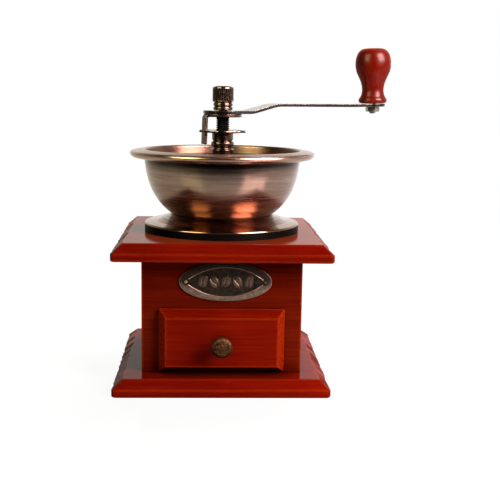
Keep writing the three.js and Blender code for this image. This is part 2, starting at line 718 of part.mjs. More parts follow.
function spindle() {
  const collarFoot = SHAFT_Z.collar + GAP;
  const springCollar = tube(SHAFT.thread + 0.2, 6.8, collarFoot, collarFoot + 1.4, 16);
  const footBore = SHAFT.foot + 0.2;
  const washerTop = SHAFT_Z.burr - GAP;
  const washerFoot = washerTop - 1.4;
  return [
    sub("spindle_shaft", spindleShaft(), darkSteel),
    sub("inner_burr", innerBurr(), brightSteel),
    sub("burr_washer", tube(footBore, 7.5, washerFoot, washerTop, 16), brightSteel),
    sub("burr_nut", hexNut(10, footBore, washerFoot - GAP - 4.9, washerFoot - GAP), brightSteel),
    sub("spring_collar", springCollar, brightSteel),
    sub("burr_spring", burrSpring(), brightSteel),
    sub("adjusting_nut", adjustingNut(), bronze),
    sub("locking_clip", lockingClip(), bronze),
    sub("crank_nut", crankNut(), bronze),
  ];
}

// ---------------------------------------------------------------- crank arm and knob

// Side view of the arm gives its bends, plan view gives hub, waist and eye.
function crankArm() {
  const { thick, hub, reach, eye, waist, root } = ARM;
  const { from, to, fall } = ARM_LEVEL;
  const midAt = (x) => ARM_EYE_MID + (x - reach) * Math.tan(ARM_SLOPE);
  const end = reach + eye + 2;
  const bends = [
    [-hub - 2, ARM_HUB_MID],
    [16.5, ARM_HUB_MID],
    [from, midAt(to) - fall],
    [to, midAt(to)],
    [end, midAt(end)],
  ];
  const side = extrudeAlongY(stripOutline(bends, 3.5, thick), -hub - 2, hub + 2);
  const hubEdge = Math.acos(root / hub) + 0.25;
  const eyeEdge = 0.95;
  const plan = new THREE.Shape();
  plan.absarc(0, 0, hub, hubEdge, 2 * Math.PI - hubEdge, false);
  plan.quadraticCurveTo(18, -root, 26, -root + 0.4);
  plan.lineTo(reach - eye - 6, -waist);
  plan.quadraticCurveTo(reach - eye, -waist, reach - eye * Math.cos(eyeEdge), -eye * Math.sin(eyeEdge));
  plan.absarc(reach, 0, eye, Math.PI + eyeEdge, 3 * Math.PI - eyeEdge, false);
  plan.quadraticCurveTo(reach - eye, waist, reach - eye - 6, waist);
  plan.lineTo(26, root - 0.4);
  plan.quadraticCurveTo(18, root, hub * Math.cos(hubEdge), hub * Math.sin(hubEdge));
  const half = SHAFT.topSquare / 2 + TURNED_GAP;
  const squareHole = box(-half, half, -half, half, 140, 156);
  const boltHole = cylinder(SCREW_HOLES.bolt, 150, 165, 20, reach, 0);
  return cut(overlap(extrudeUp(plan, 140, 170, 10), side), squareHole, boltHole);
}

// The knob group's own origin is the arm's upper face on the knob axis.
function crankKnob() {
  const bore = 2.35;
  const recess = KNOB_HEIGHT - 3.6;
  return turn([
    [bore, TURNED_GAP],
    [7.4, TURNED_GAP],
    ...curve([7.4, TURNED_GAP], [9, 0.6], [9.3, 2.4], [8.1, 3.8], 3),
    ...curve([8.1, 3.8], [6.4, 7], [6.5, 11], [8.1, 14.6], 5),
    ...curve([8.1, 14.6], [9.8, 18.2], [11.2, 20], [11.15, 24.6], 4),
    ...curve([11.15, 24.6], [11.1, 30], [9.4, 33.9], [5.2, KNOB_HEIGHT - 0.05], 5),
    [4.4, KNOB_HEIGHT],
    [4.1, KNOB_HEIGHT - 0.6],
    [4.1, recess],
    [bore, recess],
    [bore, TURNED_GAP],
  ], 22);
}

function knobBolt() {
  const headFoot = KNOB_HEIGHT - 3.3;
  return turn([
    [0, -6.1],
    [1.7, -6.1],
    [2, -5.7],
    [2, headFoot],
    [3.6, headFoot],
    [3.6, headFoot + 1.4],
    [2.4, headFoot + 2.4],
    [0, headFoot + 2.6],
  ], 12);
}

function crank() {
  const arm = new THREE.Group();
  arm.add(sub("crank_arm", crankArm(), darkSteel));
  const knobAxis = new THREE.Group();
  const nutTop = -ARM.thick - TURNED_GAP / 2;
  knobAxis.position.set(ARM.reach, 0, ARM_EYE_MID + ARM.thick / 2);
  knobAxis.rotation.y = -ARM_SLOPE;
  const lockNut = hexNut(LOCK_NUT.acrossFlats, 2.25, nutTop - LOCK_NUT.height, nutTop);
  knobAxis.add(
    sub("crank_knob", crankKnob(), lacqueredWood),
    sub("knob_bolt", knobBolt(), brightSteel),
    sub("knob_lock_nut", lockNut.rotateZ(LOCK_NUT.turned), brightSteel),
  );
  arm.add(knobAxis);
  return arm;
}

// ---------------------------------------------------------------- drawer

// A raised panel: the bevel runs from a thin edge at the back to the front face.
function drawerFront() {
  const { width, bottom, top, thick, edge, inset, sideInset } = DRAWER_FRONT;
  const height = top - bottom;
  const sideShare = sideInset / inset;
  const levels = [[0, 0.4], [0.4, 0], [edge, 0], [thick - 0.25, inset - 0.25], [thick, inset + 0.25]];
  const panel = loft(levels.map(([reach, step]) => {
    const corner = Math.max(0.8 - step * 0.1, 0.4);
    return roundedRing(width / 2 - step * sideShare, height / 2 - step, corner, reach, 2);
  }));
  panel.rotateX(Math.PI / 2).translate(0, DRAWER_FRONT_BACK, (bottom + top) / 2);
  const screwHole = cylinder(1.7, -2, 20, 10).rotateX(Math.PI / 2);
  return cut(panel, screwHole.translate(0, DRAWER_FRONT_BACK + 2, DRAWER_KNOB.z));
}

function drawerSide(side) {
  const outer = side * DRAWER.width / 2;
  const inner = outer - side * DRAWER.wall;
  const [x0, x1] = [Math.min(outer, inner), Math.max(outer, inner)];
  return box(x0, x1, DRAWER_FRONT_BACK + GAP, DRAWER.back, DRAWER_BOTTOM, DRAWER.top);
}

function drawerKnob() {
  const { z, stem, head, reach } = DRAWER_KNOB;
  const knob = turn([
    [0, 9],
    [1.6, 9],
    [1.6, 0],
    [stem + 1, 0],
    [stem + 1, 0.8],
    [stem, 1.4],
    [stem - 0.4, 4],
    [stem, 6.2],
    ...curve([stem, 6.2], [4.4, 6.8], [head, 7], [head, 8.2], 2),
    ...curve([head, 8.2], [head, 9.6], [head - 0.6, 10.4], [head - 1.2, 10.8], 2),
    [0, reach],
  ], 16);
  return knob.rotateX(Math.PI / 2).translate(0, DRAWER_FRONT_BACK - DRAWER_FRONT.thick - GAP, z);
}

function drawerKnobScrew() {
  const screw = turn([[0, -2], [2.6, -2], [3, -1.2], [3, -0.1], [1.3, -0.1], [1.3, 14.5], [0, 14.5]], 10);
  return screw.rotateX(Math.PI / 2).translate(0, DRAWER_FRONT_BACK, DRAWER_KNOB.z);
}

function drawer() {
  const inside = DRAWER.width / 2 - DRAWER.wall - GAP;
  const front = DRAWER_FRONT_BACK + GAP;
  const { back, wall, top, floor } = DRAWER;
  const floorFoot = DRAWER_BOTTOM + 1;
  const backPanel = box(-inside, inside, back - wall, back, DRAWER_BOTTOM, top);
  const floorPanel = box(-inside, inside, front, back - wall - GAP, floorFoot, floorFoot + floor);
  return [
    sub("drawer_front", drawerFront(), lacqueredWood),
    sub("drawer_side_left", drawerSide(-1), plainWood),
    sub("drawer_side_right", drawerSide(1), plainWood),
    sub("drawer_back", backPanel, plainWood),
    sub("drawer_floor", floorPanel, plainWood),
    sub("drawer_knob", drawerKnob(), bronze),
    sub("drawer_knob_screw", drawerKnobScrew(), brightSteel),
  ];
}

// ---------------------------------------------------------------- assembly

function grinder() {
  const assembly = new THREE.Group();
  assembly.add(...wooden(), ...plate(), ...hopper(), ...burrSet(), ...drawer());
  const turning = new THREE.Group();
  turning.rotation.z = CRANK_ANGLE;
  turning.add(...spindle(), crank());
  assembly.add(turning);
  return assembly;
}

export default grinder();
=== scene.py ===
# %% [markdown]
# # A hand-cranked burr coffee grinder
#
# A small box mill: a lacquered wooden case with a drawer, a spun copper hopper on a flared skirt,
# a pair of conical burrs on a threaded spindle, and a crank with a turned knob. The construction
# model is already packed, with every piece at its real size and on its own moving body. This
# lesson gives each piece its fine shape and its finish, and never moves or resizes anything.

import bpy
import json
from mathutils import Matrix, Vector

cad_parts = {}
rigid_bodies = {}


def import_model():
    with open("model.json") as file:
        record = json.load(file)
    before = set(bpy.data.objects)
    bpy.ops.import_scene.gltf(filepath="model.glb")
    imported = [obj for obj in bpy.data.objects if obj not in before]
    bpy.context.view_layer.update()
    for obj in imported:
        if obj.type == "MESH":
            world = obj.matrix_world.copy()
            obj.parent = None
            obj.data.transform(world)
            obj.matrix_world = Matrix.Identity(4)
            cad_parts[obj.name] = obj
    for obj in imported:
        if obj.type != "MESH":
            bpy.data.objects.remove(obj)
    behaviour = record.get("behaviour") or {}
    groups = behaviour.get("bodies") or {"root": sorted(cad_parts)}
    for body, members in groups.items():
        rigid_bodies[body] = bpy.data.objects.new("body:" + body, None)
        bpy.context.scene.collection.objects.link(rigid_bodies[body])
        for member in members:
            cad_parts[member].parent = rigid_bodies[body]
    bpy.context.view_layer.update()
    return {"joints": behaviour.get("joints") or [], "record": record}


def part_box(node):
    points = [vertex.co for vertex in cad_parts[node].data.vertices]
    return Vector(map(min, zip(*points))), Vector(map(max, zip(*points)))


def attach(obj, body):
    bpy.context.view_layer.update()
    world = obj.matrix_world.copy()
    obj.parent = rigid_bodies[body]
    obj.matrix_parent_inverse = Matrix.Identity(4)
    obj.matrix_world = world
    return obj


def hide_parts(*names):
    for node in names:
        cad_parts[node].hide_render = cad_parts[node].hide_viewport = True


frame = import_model()

# %% Tools and units
import json
import math

import bmesh
import bpy
from mathutils import Matrix, Vector, noise

MM = 0.001                             # mesh code counts in millimetres, Blender in metres
TURN = 2 * math.pi
QUARTER = math.pi / 2
RECORD = frame["record"]
BODY_OF = {n: body for body, nodes in RECORD["behaviour"]["bodies"].items() for n in nodes}


def extent(node):
    """Lowest and highest corner of a construction node, in millimetres."""
    low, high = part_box(node)
    return low / MM, high / MM


def middle(node):
    low, high = extent(node)
    return (low + high) / 2


print(len(BODY_OF), "nodes on", sorted(set(BODY_OF.values())))

# %% [markdown]
# ## The camera
#
# Small goods look true from about half a metre through a short telephoto lens. This one stands
# a little above the middle, so that the boards show their top faces. The camera is built from
# three turns: to the side, down, and a slight roll.

# %% Camera
CAMERA_PLACE = Vector((-8.9, -534.1, 164.0))
CAMERA_SIDE = math.radians(2.79)
CAMERA_DOWN = math.radians(9.76)
CAMERA_ROLL = math.radians(0.97)
CAMERA_LENS = 65.34


def camera_axes(side, down, roll):
    """The camera's right, up and back axes as a rotation."""
    ahead = Vector((
        math.sin(side) * math.cos(down), math.cos(side) * math.cos(down), -math.sin(down)))
    right = ahead.cross(Vector((0, 0, 1))).normalized()
    up = right.cross(ahead)
    rolled_right = right * math.cos(roll) + up * math.sin(roll)
    rolled_up = up * math.cos(roll) - right * math.sin(roll)
    return Matrix((rolled_right, rolled_up, -ahead)).transposed().to_4x4()


camera = bpy.data.objects.new("camera", bpy.data.cameras.new("camera"))
camera.data.sensor_width = 36
camera.data.lens = CAMERA_LENS
turn_camera = camera_axes(CAMERA_SIDE, CAMERA_DOWN, CAMERA_ROLL)
camera.matrix_world = Matrix.Translation(CAMERA_PLACE * MM) @ turn_camera
bpy.context.scene.collection.objects.link(camera)
bpy.context.scene.camera = camera
bpy.context.scene.view_settings.view_transform = "Standard"
print("camera at", tuple(round(x, 3) for x in camera.location))

# %% [markdown]
# ## Wiring nodes
#
# Every finish here is a node tree. Small helpers keep the wiring readable: one fills a node's
# inputs, one adds a node, and the others are the few sums, ranges, ramps and noises that come
# back in every material.

# %% Node helpers
def wire(tree, node, inputs):
    """Fills a node's inputs. Each one is a value to set or a socket to link."""
    for key, value in inputs.items():
        if isinstance(value, bpy.types.NodeSocket):
            tree.links.new(value, node.inputs[key])
        else:
            node.inputs[key].default_value = value


def add_node(tree, kind, inputs=None, **settings):
    made = tree.nodes.new(kind)
    for key, value in settings.items():
        setattr(made, key, value)
    wire(tree, made, inputs or {})
    return made


def use_group(tree, group, inputs):
    return add_node(tree, "ShaderNodeGroup", inputs, node_tree=group).outputs


def new_group(name, inputs, outputs):
    """A shader node group with named sockets. Gives the tree, its inputs and its output node."""
    tree = bpy.data.node_groups.new(name, "ShaderNodeTree")
    for label, kind, value in inputs:
        socket = tree.interface.new_socket(label, in_out="INPUT", socket_type=kind)
        if value is not None:
            socket.default_value = value
    for label, kind in outputs:
        tree.interface.new_socket(label, in_out="OUTPUT", socket_type=kind)
    return tree, tree.nodes.new("NodeGroupInput").outputs, tree.nodes.new("NodeGroupOutput")


print("nodes can be added, wired and grouped")

# %% Sums and ranges
def calc(tree, operation, *values, clamp=False):
    inputs = dict(enumerate(values))
    return add_node(tree, "ShaderNodeMath", inputs, operation=operation, use_clamp=clamp).outputs[0]


def times(tree, first, second, clamp=False):
    return calc(tree, "MULTIPLY", first, second, clamp=clamp)


def times_add(tree, value, factor, added, clamp=False):
    return calc(tree, "MULTIPLY_ADD", value, factor, added, clamp=clamp)


def larger(tree, first, second):
    return calc(tree, "MAXIMUM", first, second)


def all_but(tree, share):
    return calc(tree, "SUBTRACT", 1.0, share)


def spread(tree, value, low, high, to_low=0.0, to_high=1.0):
    """Stretches a value from one range to another and holds it there."""
    inputs = {"Value": value, "From Min": low, "From Max": high}
    inputs.update({"To Min": to_low, "To Max": to_high})
    return add_node(tree, "ShaderNodeMapRange", inputs, clamp=True).outputs[0]


def blend_value(tree, factor, first, second):
    return add_node(tree, "ShaderNodeMix", {"Factor": factor, "A": first, "B": second}).outputs[0]


def vector_calc(tree, operation, *values):
    inputs = dict(enumerate(values))
    return add_node(tree, "ShaderNodeVectorMath", inputs, operation=operation).outputs


def stretch(tree, vector, factors):
    """Multiplies a vector by three factors, so that a pattern is drawn out along one axis."""
    return vector_calc(tree, "MULTIPLY", vector, factors)[0]


def in_millimetres(tree, vector):
    return stretch(tree, vector, (1 / MM, 1 / MM, 1 / MM))


def split(tree, vector):
    """The X, Y and Z of a vector."""
    return add_node(tree, "ShaderNodeSeparateXYZ", {0: vector}).outputs


print("values can be scaled, compared and split")

# %% Colours, noise and bumps
def grey(tree, level):
    return add_node(tree, "ShaderNodeCombineColor", {0: level, 1: level, 2: level}).outputs[0]


def ramp(tree, factor, stops):
    """A colour ramp from (position, colour) stops."""
    made = add_node(tree, "ShaderNodeValToRGB", {"Fac": factor})
    elements = made.color_ramp.elements
    while len(elements) < len(stops):
        elements.new(0.5)
    for element, (position, colour) in zip(elements, stops):
        element.position = position
        element.color = (*colour, 1)
    return made.outputs["Color"]


def blend_colour(tree, factor, first, second, blend="MIX"):
    first, second = [(*c, 1) if isinstance(c, tuple) and len(c) == 3 else c for c in (first, second)]
    inputs = {0: factor, 6: first, 7: second}
    return add_node(tree, "ShaderNodeMix", inputs, data_type="RGBA", blend_type=blend).outputs[2]


def noise_at(tree, vector, scale, detail=2.0, rough=0.5, distortion=0.0):
    inputs = {"Vector": vector, "Scale": scale, "Detail": detail}
    inputs.update({"Roughness": rough, "Distortion": distortion})
    return add_node(tree, "ShaderNodeTexNoise", inputs).outputs["Fac"]


def bumped(tree, height, strength, deep):
    """The surface's normal, tilted by a height that is deep millimetres from low to high."""
    inputs = {"Height": height, "Strength": strength, "Distance": deep * MM}
    return add_node(tree, "ShaderNodeBump", inputs).outputs[0]


def openness(tree, reach):
    """1 in the open, falling towards 0 in hollows and inside corners narrower than the reach."""
    inputs = {"Distance": reach * MM}
    return add_node(tree, "ShaderNodeAmbientOcclusion", inputs, samples=4).outputs["AO"]


print("colours, noise and bumps ready")

# %% [markdown]
# ## The studio
#
# Polished copper shows the room more than itself. A product studio is a pale table, a white
# backdrop behind and beside the object, a dark room in front of it and overhead, and two tall
# softboxes at the front left and front right. One world shader can be all of the room,
# because it can ask which ray looks at it. The camera sees plain white. A mirror image sees the
# backdrop fade into the dark room, straw-tinted on the left and lighter and rosier on the right.
# All other light from the room is a weak plain fill.

# %% World
DARK_ROOM = 0.012
DARK_OVERHEAD = 0.10                   # how much of the backdrop is left high up
PLAIN_FILL = 0.06                      # what the world adds to rays that are neither seen nor mirrored
LEFT_TINT, RIGHT_TINT = (0.84, 0.85, 0.72), (1.35, 1.30, 1.30)
WHITE = (1.0, 1.0, 1.0)

world = bpy.data.worlds.new("studio")
bpy.context.scene.world = world
world.use_nodes = True
tree = world.node_tree
tree.nodes.clear()
ray = split(tree, add_node(tree, "ShaderNodeTexCoord").outputs["Generated"])
leaning = times_add(tree, ray["X"], 0.25, ray["Y"])
backdrop = spread(tree, leaning, -0.35, 0.75, DARK_ROOM, 1.0)
room = times(tree, backdrop, spread(tree, ray["Z"], 0.35, 0.75, 1.0, DARK_OVERHEAD))
path = add_node(tree, "ShaderNodeLightPath").outputs
mirrored = larger(tree, path["Is Glossy Ray"], path["Is Transmission Ray"])
level = blend_value(tree, mirrored, PLAIN_FILL, room)
level = blend_value(tree, path["Is Camera Ray"], level, 1.0)
tint = blend_colour(tree, spread(tree, ray["X"], -0.5, 0.5), LEFT_TINT, RIGHT_TINT)
tint = blend_colour(tree, mirrored, WHITE, tint)
background = add_node(tree, "ShaderNodeBackground", {"Color": tint, "Strength": level})
output = add_node(tree, "ShaderNodeOutputWorld")
tree.links.new(background.outputs[0], output.inputs["Surface"])
print("world ready")

# %% [markdown]
# The table is a wide plane of glossy white board. Most of what the camera sees of it is white
# emission, which keeps the page white and still leaves a faint shadow and a faint mirror image.
# Towards the horizon it is all emission. A mirror image sees a pale table that fades into the
# dark room in front. Close round the object that image is dimmed, as the object's own shadow
# dims it.

# %% Table
TABLE_HALF = 3.0
FADE_START, FADE_END = 0.15, 0.40       # metres in front of the object, from pale to dark
DIM_START, DIM_END = 0.125, 0.085       # metres from the object's middle, from pale to dimmed
PAGE_START, PAGE_END = 0.3, 1.2         # metres from the object's middle, to the plain white page
TABLE_PALE, TABLE_DARK = 1.75, 0.02     # its glow in a mirror, near the object and far in front
DIMMED = 0.1                            # and how much of that is left close round the object
PAGE_GLOW = 1.02                        # its glow to the camera
TABLE_LEFT_TINT, TABLE_RIGHT_TINT = (0.86, 0.86, 0.72), (1.22, 1.18, 1.18)
BOARD_WHITE, BOARD_MIRRORED = 0.86, 0.10
MIRRORED_SHARE = 0.40                   # how much of its white glow a mirror image sees
PAGE_SHARE = 0.90                       # and how much the camera sees

table_mesh = bpy.data.meshes.new("table")
corners = [(-TABLE_HALF, -TABLE_HALF, 0), (TABLE_HALF, -TABLE_HALF, 0)]
corners += [(TABLE_HALF, TABLE_HALF, 0), (-TABLE_HALF, TABLE_HALF, 0)]
table_mesh.from_pydata(corners, [], [(0, 1, 2, 3)])
table = bpy.data.objects.new("table", table_mesh)
bpy.context.scene.collection.objects.link(table)

board = bpy.data.materials.new("pale table")
board.use_nodes = True
tree = board.node_tree
tree.nodes.clear()
place = add_node(tree, "ShaderNodeTexCoord").outputs["Object"]
spot = split(tree, place)
aside = split(tree, vector_calc(tree, "ABSOLUTE", place)[0])
away = larger(tree, aside["X"], aside["Y"])
path = add_node(tree, "ShaderNodeLightPath").outputs
mirrored = larger(tree, path["Is Glossy Ray"], path["Is Transmission Ray"])
lit = spread(tree, times(tree, spot["Y"], -1.0), FADE_START, FADE_END, TABLE_PALE, TABLE_DARK)
shown = times(tree, lit, spread(tree, away, DIM_END, DIM_START, DIMMED, 1.0))
shown = blend_value(tree, path["Is Camera Ray"], shown, PAGE_GLOW)
cast = blend_colour(tree, spread(tree, spot["X"], -0.2, 0.2), TABLE_LEFT_TINT, TABLE_RIGHT_TINT)
cast = blend_colour(tree, path["Is Camera Ray"], cast, WHITE)
white = add_node(tree, "ShaderNodeEmission", {"Color": cast, "Strength": shown})
tone = larger(tree, times(tree, lit, BOARD_MIRRORED), times(tree, path["Is Camera Ray"], BOARD_WHITE))
glossy = add_node(
    tree, "ShaderNodeBsdfPrincipled", {"Base Color": grey(tree, tone), "Roughness": 0.16})
page = times(tree, path["Is Camera Ray"], spread(tree, away, PAGE_START, PAGE_END, PAGE_SHARE, 1.0))
share = times_add(tree, mirrored, MIRRORED_SHARE, page, clamp=True)
whole = add_node(tree, "ShaderNodeMixShader", {0: share, 1: glossy.outputs[0], 2: white.outputs[0]})
output = add_node(tree, "ShaderNodeOutputMaterial")
tree.links.new(whole.outputs[0], output.inputs["Surface"])
table_mesh.materials.append(board)
print("table", 2 * TABLE_HALF, "m wide")

# %% [markdown]
# The lamps do two jobs, which a studio keeps apart with flags and screens. Three soft lamps make
# the colours and the shadows: a key on the right, a fill on the left, and one above and behind.
# They don't show in polished metal. Two large softboxes only show there: the bright one draws
# the rosy streak down the right of the bowl, and the weak one the straw streak on its left. Each
# is an area light that either shines or is mirrored, and never both.

# %% Softboxes
AIM = Vector((0, 0, 0.10))             # the middle of the object, which every lamp faces
ROSY, STRAW = (1.0, 0.80, 0.78), (0.96, 1.0, 0.55)


def softbox(name, azimuth, elevation, distance, width, height, power, colour, shines):
    """An area light aimed at the object. Azimuth 0 is straight in front. The light either shines
    on the object or is only seen reflected in it."""
    data = bpy.data.lights.new(name, "AREA")
    data.shape = "RECTANGLE"
    data.size, data.size_y = width, height
    data.energy, data.color = power, colour
    lamp = bpy.data.objects.new(name, data)
    bpy.context.scene.collection.objects.link(lamp)
    lamp.visible_diffuse, lamp.visible_glossy = shines, not shines
    a, e = math.radians(azimuth), math.radians(elevation)
    back = Vector((math.sin(a) * math.cos(e), -math.cos(a) * math.cos(e), math.sin(e)))
    rotation = back.to_track_quat("Z", "Y").to_matrix().to_4x4()
    lamp.matrix_world = Matrix.Translation(AIM + back * distance) @ rotation
    return lamp


softbox("key", 48, 22, 0.60, 0.26, 0.26, 5.0, (1.0, 0.95, 0.92), True)
softbox("fill", -38, 20, 0.95, 0.5, 0.5, 1.6, (1.0, 0.97, 0.90), True)
softbox("above", 150, 58, 0.95, 0.5, 0.5, 13.0, (1.0, 0.90, 0.84), True)
MIRRORED = [
    softbox("mirrored_right", 52, 33, 0.95, 0.60, 0.66, 60.0, ROSY, False),
    softbox("mirrored_left", -50, 33, 0.95, 0.50, 0.66, 12.0, STRAW, False),
]
print("softboxes placed")

# %% [markdown]
# ## Effects that several finishes share
#
# Solid wood is a stack of year rings round a pith, cut by the board's faces, so a pattern in
# space shows long grain on the faces and end grain on the ends by itself. The group takes a
# position, draws it out along the grain, and gives the rings, the fine fibres and the pores.

# %% Wood grain group
RING_WANDER = 16.0                     # millimetres that the year rings wander along a board


def build_wood_grain():
    tree, given, out = new_group(
        "wood grain",
        [("Vector", "NodeSocketVector", None), ("Ring Width", "NodeSocketFloat", 4.0),
         ("Shift", "NodeSocketVector", (0, 0, 0))],
        [("Rings", "NodeSocketFloat"), ("Fibres", "NodeSocketFloat"), ("Pores", "NodeSocketFloat")],
    )
    place = vector_calc(tree, "ADD", in_millimetres(tree, given["Vector"]), given["Shift"])[0]
    wander = noise_at(tree, stretch(tree, place, (0.011, 0.035, 0.035)), 1.0)
    depth = vector_calc(tree, "LENGTH", stretch(tree, place, (0, 1, 1)))["Value"]
    depth = calc(tree, "ADD", depth, times(tree, wander, RING_WANDER))
    phase = calc(tree, "FRACT", calc(tree, "DIVIDE", depth, given["Ring Width"]))
    fibres = noise_at(tree, stretch(tree, place, (0.03, 1.0, 1.0)), 1.1, 3.0, 0.62)
    pores = noise_at(tree, stretch(tree, place, (0.16, 2.6, 2.6)), 1.0, 1.0)
    wire(tree, out, {
        "Rings": calc(tree, "POWER", phase, 2.2), "Fibres": fibres,
        "Pores": spread(tree, pores, 0.62, 0.75)})
    return tree


WOOD_GRAIN = build_wood_grain()
print("group:", WOOD_GRAIN.name)

# %% [markdown]
# Edges tell how a thing was finished. Lacquer and stain thin out along them, and antiqued metal
# is rubbed bright there. On the lacquered wood the paler edge also stands for a painted highlight.
# The Bevel node looks at the surface within a small radius: where its normal differs from the true
# one, there is an edge. Noise breaks the line up. The mesh's own pointiness could show edges too,
# but only where a surface has very many points.

# %% Edge wear and highlight group
def build_edge_wear():
    tree, given, out = new_group(
        "edge wear and highlight",
        [("Vector", "NodeSocketVector", None), ("Reach", "NodeSocketFloat", 0.6),
         ("Unevenness", "NodeSocketFloat", 0.5), ("Full At", "NodeSocketFloat", 0.86)],
        [("Wear", "NodeSocketFloat")],
    )
    reach = times(tree, given["Reach"], MM)
    soft = add_node(tree, "ShaderNodeBevel", {"Radius": reach}, samples=6).outputs[0]
    true = add_node(tree, "ShaderNodeNewGeometry").outputs["Normal"]
    same = vector_calc(tree, "DOT_PRODUCT", soft, true)["Value"]
    turned_away = spread(tree, same, 0.997, given["Full At"])
    patchy = spread(tree, noise_at(tree, given["Vector"], 260.0, 3.0), 0.35, 0.6)
    kept = times_add(tree, calc(tree, "SUBTRACT", patchy, 1.0), given["Unevenness"], 1.0)
    wire(tree, out, {"Wear": times(tree, turned_away, kept, clamp=True)})
    return tree


EDGE_WEAR_AND_HIGHLIGHT = build_edge_wear()
print("group:", EDGE_WEAR_AND_HIGHLIGHT.name)

# %% [markdown]
# A bowl is brushed while it spins, so its scratches are rings. In turning coordinates (distance
# from the axis, height, angle) such rings are noise that is very fine in the first two and slow
# in the third. The angle goes in as its cosine and sine, which meet without a seam at the back,
# where a wrapped picture of scratches would show one.

# %% Lathe brushing group
def build_lathe_brushing():
    tree, given, out = new_group(
        "lathe brushing", [("Vector", "NodeSocketVector", None)],
        [("Broad", "NodeSocketFloat"), ("Fine", "NodeSocketFloat")])
    place = in_millimetres(tree, given["Vector"])
    xyz = split(tree, place)
    radius = vector_calc(tree, "LENGTH", stretch(tree, place, (1, 1, 0)))["Value"]
    angle = calc(tree, "ARCTAN2", xyz["Y"], xyz["X"])
    along_wall = times_add(tree, radius, 0.83, xyz["Z"])
    for label, fine, slow in (("Broad", 0.55, 1.1), ("Fine", 2.6, 3.2)):
        turn_x = times(tree, calc(tree, "COSINE", angle), slow)
        turn_y = times(tree, calc(tree, "SINE", angle), slow)
        line = times(tree, along_wall, fine)
        spot = add_node(tree, "ShaderNodeCombineXYZ", {"X": turn_x, "Y": turn_y, "Z": line}).outputs[0]
        wire(tree, out, {label: noise_at(tree, spot, 1.0, 3.0, 0.6)})
    return tree


LATHE_BRUSHING = build_lathe_brushing()
print("group:", LATHE_BRUSHING.name)

# %% [markdown]
# Antiqued metal is dipped dark and polished back, which leaves clouds of brown in it. One group
# makes the clouds and the fine grain for every dark metal here.

# %% Patina group
def build_patina():
    tree, given, out = new_group(
        "patina",
        [("Vector", "NodeSocketVector", None), ("Size", "NodeSocketFloat", 1.0)],
        [("Clouds", "NodeSocketFloat"), ("Grain", "NodeSocketFloat")],
    )
    place = in_millimetres(tree, given["Vector"])
    inputs = {0: place, "Scale": given["Size"]}
    sized = add_node(tree, "ShaderNodeVectorMath", inputs, operation="SCALE").outputs[0]
    clouds = noise_at(tree, sized, 0.35, 4.0, 0.62, 0.4)
    wire(tree, out, {
        "Clouds": spread(tree, clouds, 0.32, 0.68), "Grain": noise_at(tree, sized, 3.4, 2.0, 0.6)})
    return tree


PATINA = build_patina()
print("group:", PATINA.name)

# %% [markdown]
# ## Finishes
#
# The red-brown case is beech, stained and sprayed with gloss lacquer. The stain makes the colour,
# and a clear coat over it makes the shine, so the material is a dull base under a coat. Along the
# edges the stain is thin and the wood is paler orange, which also stands for a painted highlight.
# The colour is painted darker in the inside corners, a painted shade, and the base board's upright
# faces are painted lighter, which is painted light. End grain drinks more stain and shows as a fine
# speckle. On the drawer front it is made brighter, which paints light onto its side bevels. Where
# the cutter hacked the bevels across the ends, the marks stay dull and dark: their stain, with
# painted shade in their hollows. A faint sheen stands for the haze of light that a built-up
# lacquer scatters.

# %% Lacquered wood
# Edge colour: the thin stain, which also stands for a painted highlight.
EDGE_STAIN_AND_HIGHLIGHT = (0.36, 0.036, 0.005)
EDGE_HIGHLIGHT_SHARE = 0.75                      # how far a worn edge goes over to the thin stain and its painted highlight
# Painted shade: the colour that inside corners darken towards.
CORNER_SHADE = (0.020, 0.0003, 0.0001)
PORE_STAIN = (0.06, 0.002, 0.001)
# Colour of the hacked marks: their stain, with painted shade in their hollows.
HACKED_STAIN_AND_SHADE = (0.095, 0.008, 0.003)
CLOUD_TINT = (1.25, 1.5, 1.4)
HAZE_TINT = (1.0, 0.24, 0.07)


def new_material(name):
    """A material, its tree, its main shader and the position in the object's own frame."""
    material = bpy.data.materials.new(name)
    material.use_nodes = True
    tree = material.node_tree
    place = add_node(tree, "ShaderNodeTexCoord").outputs["Object"]
    return material, tree, tree.nodes["Principled BSDF"], place


def along_grain(tree, place, turn):
    """Turns the position so that the grain, which the group draws along X, runs the board's way."""
    return add_node(tree, "ShaderNodeMapping", {"Vector": place, "Rotation": turn}).outputs[0]


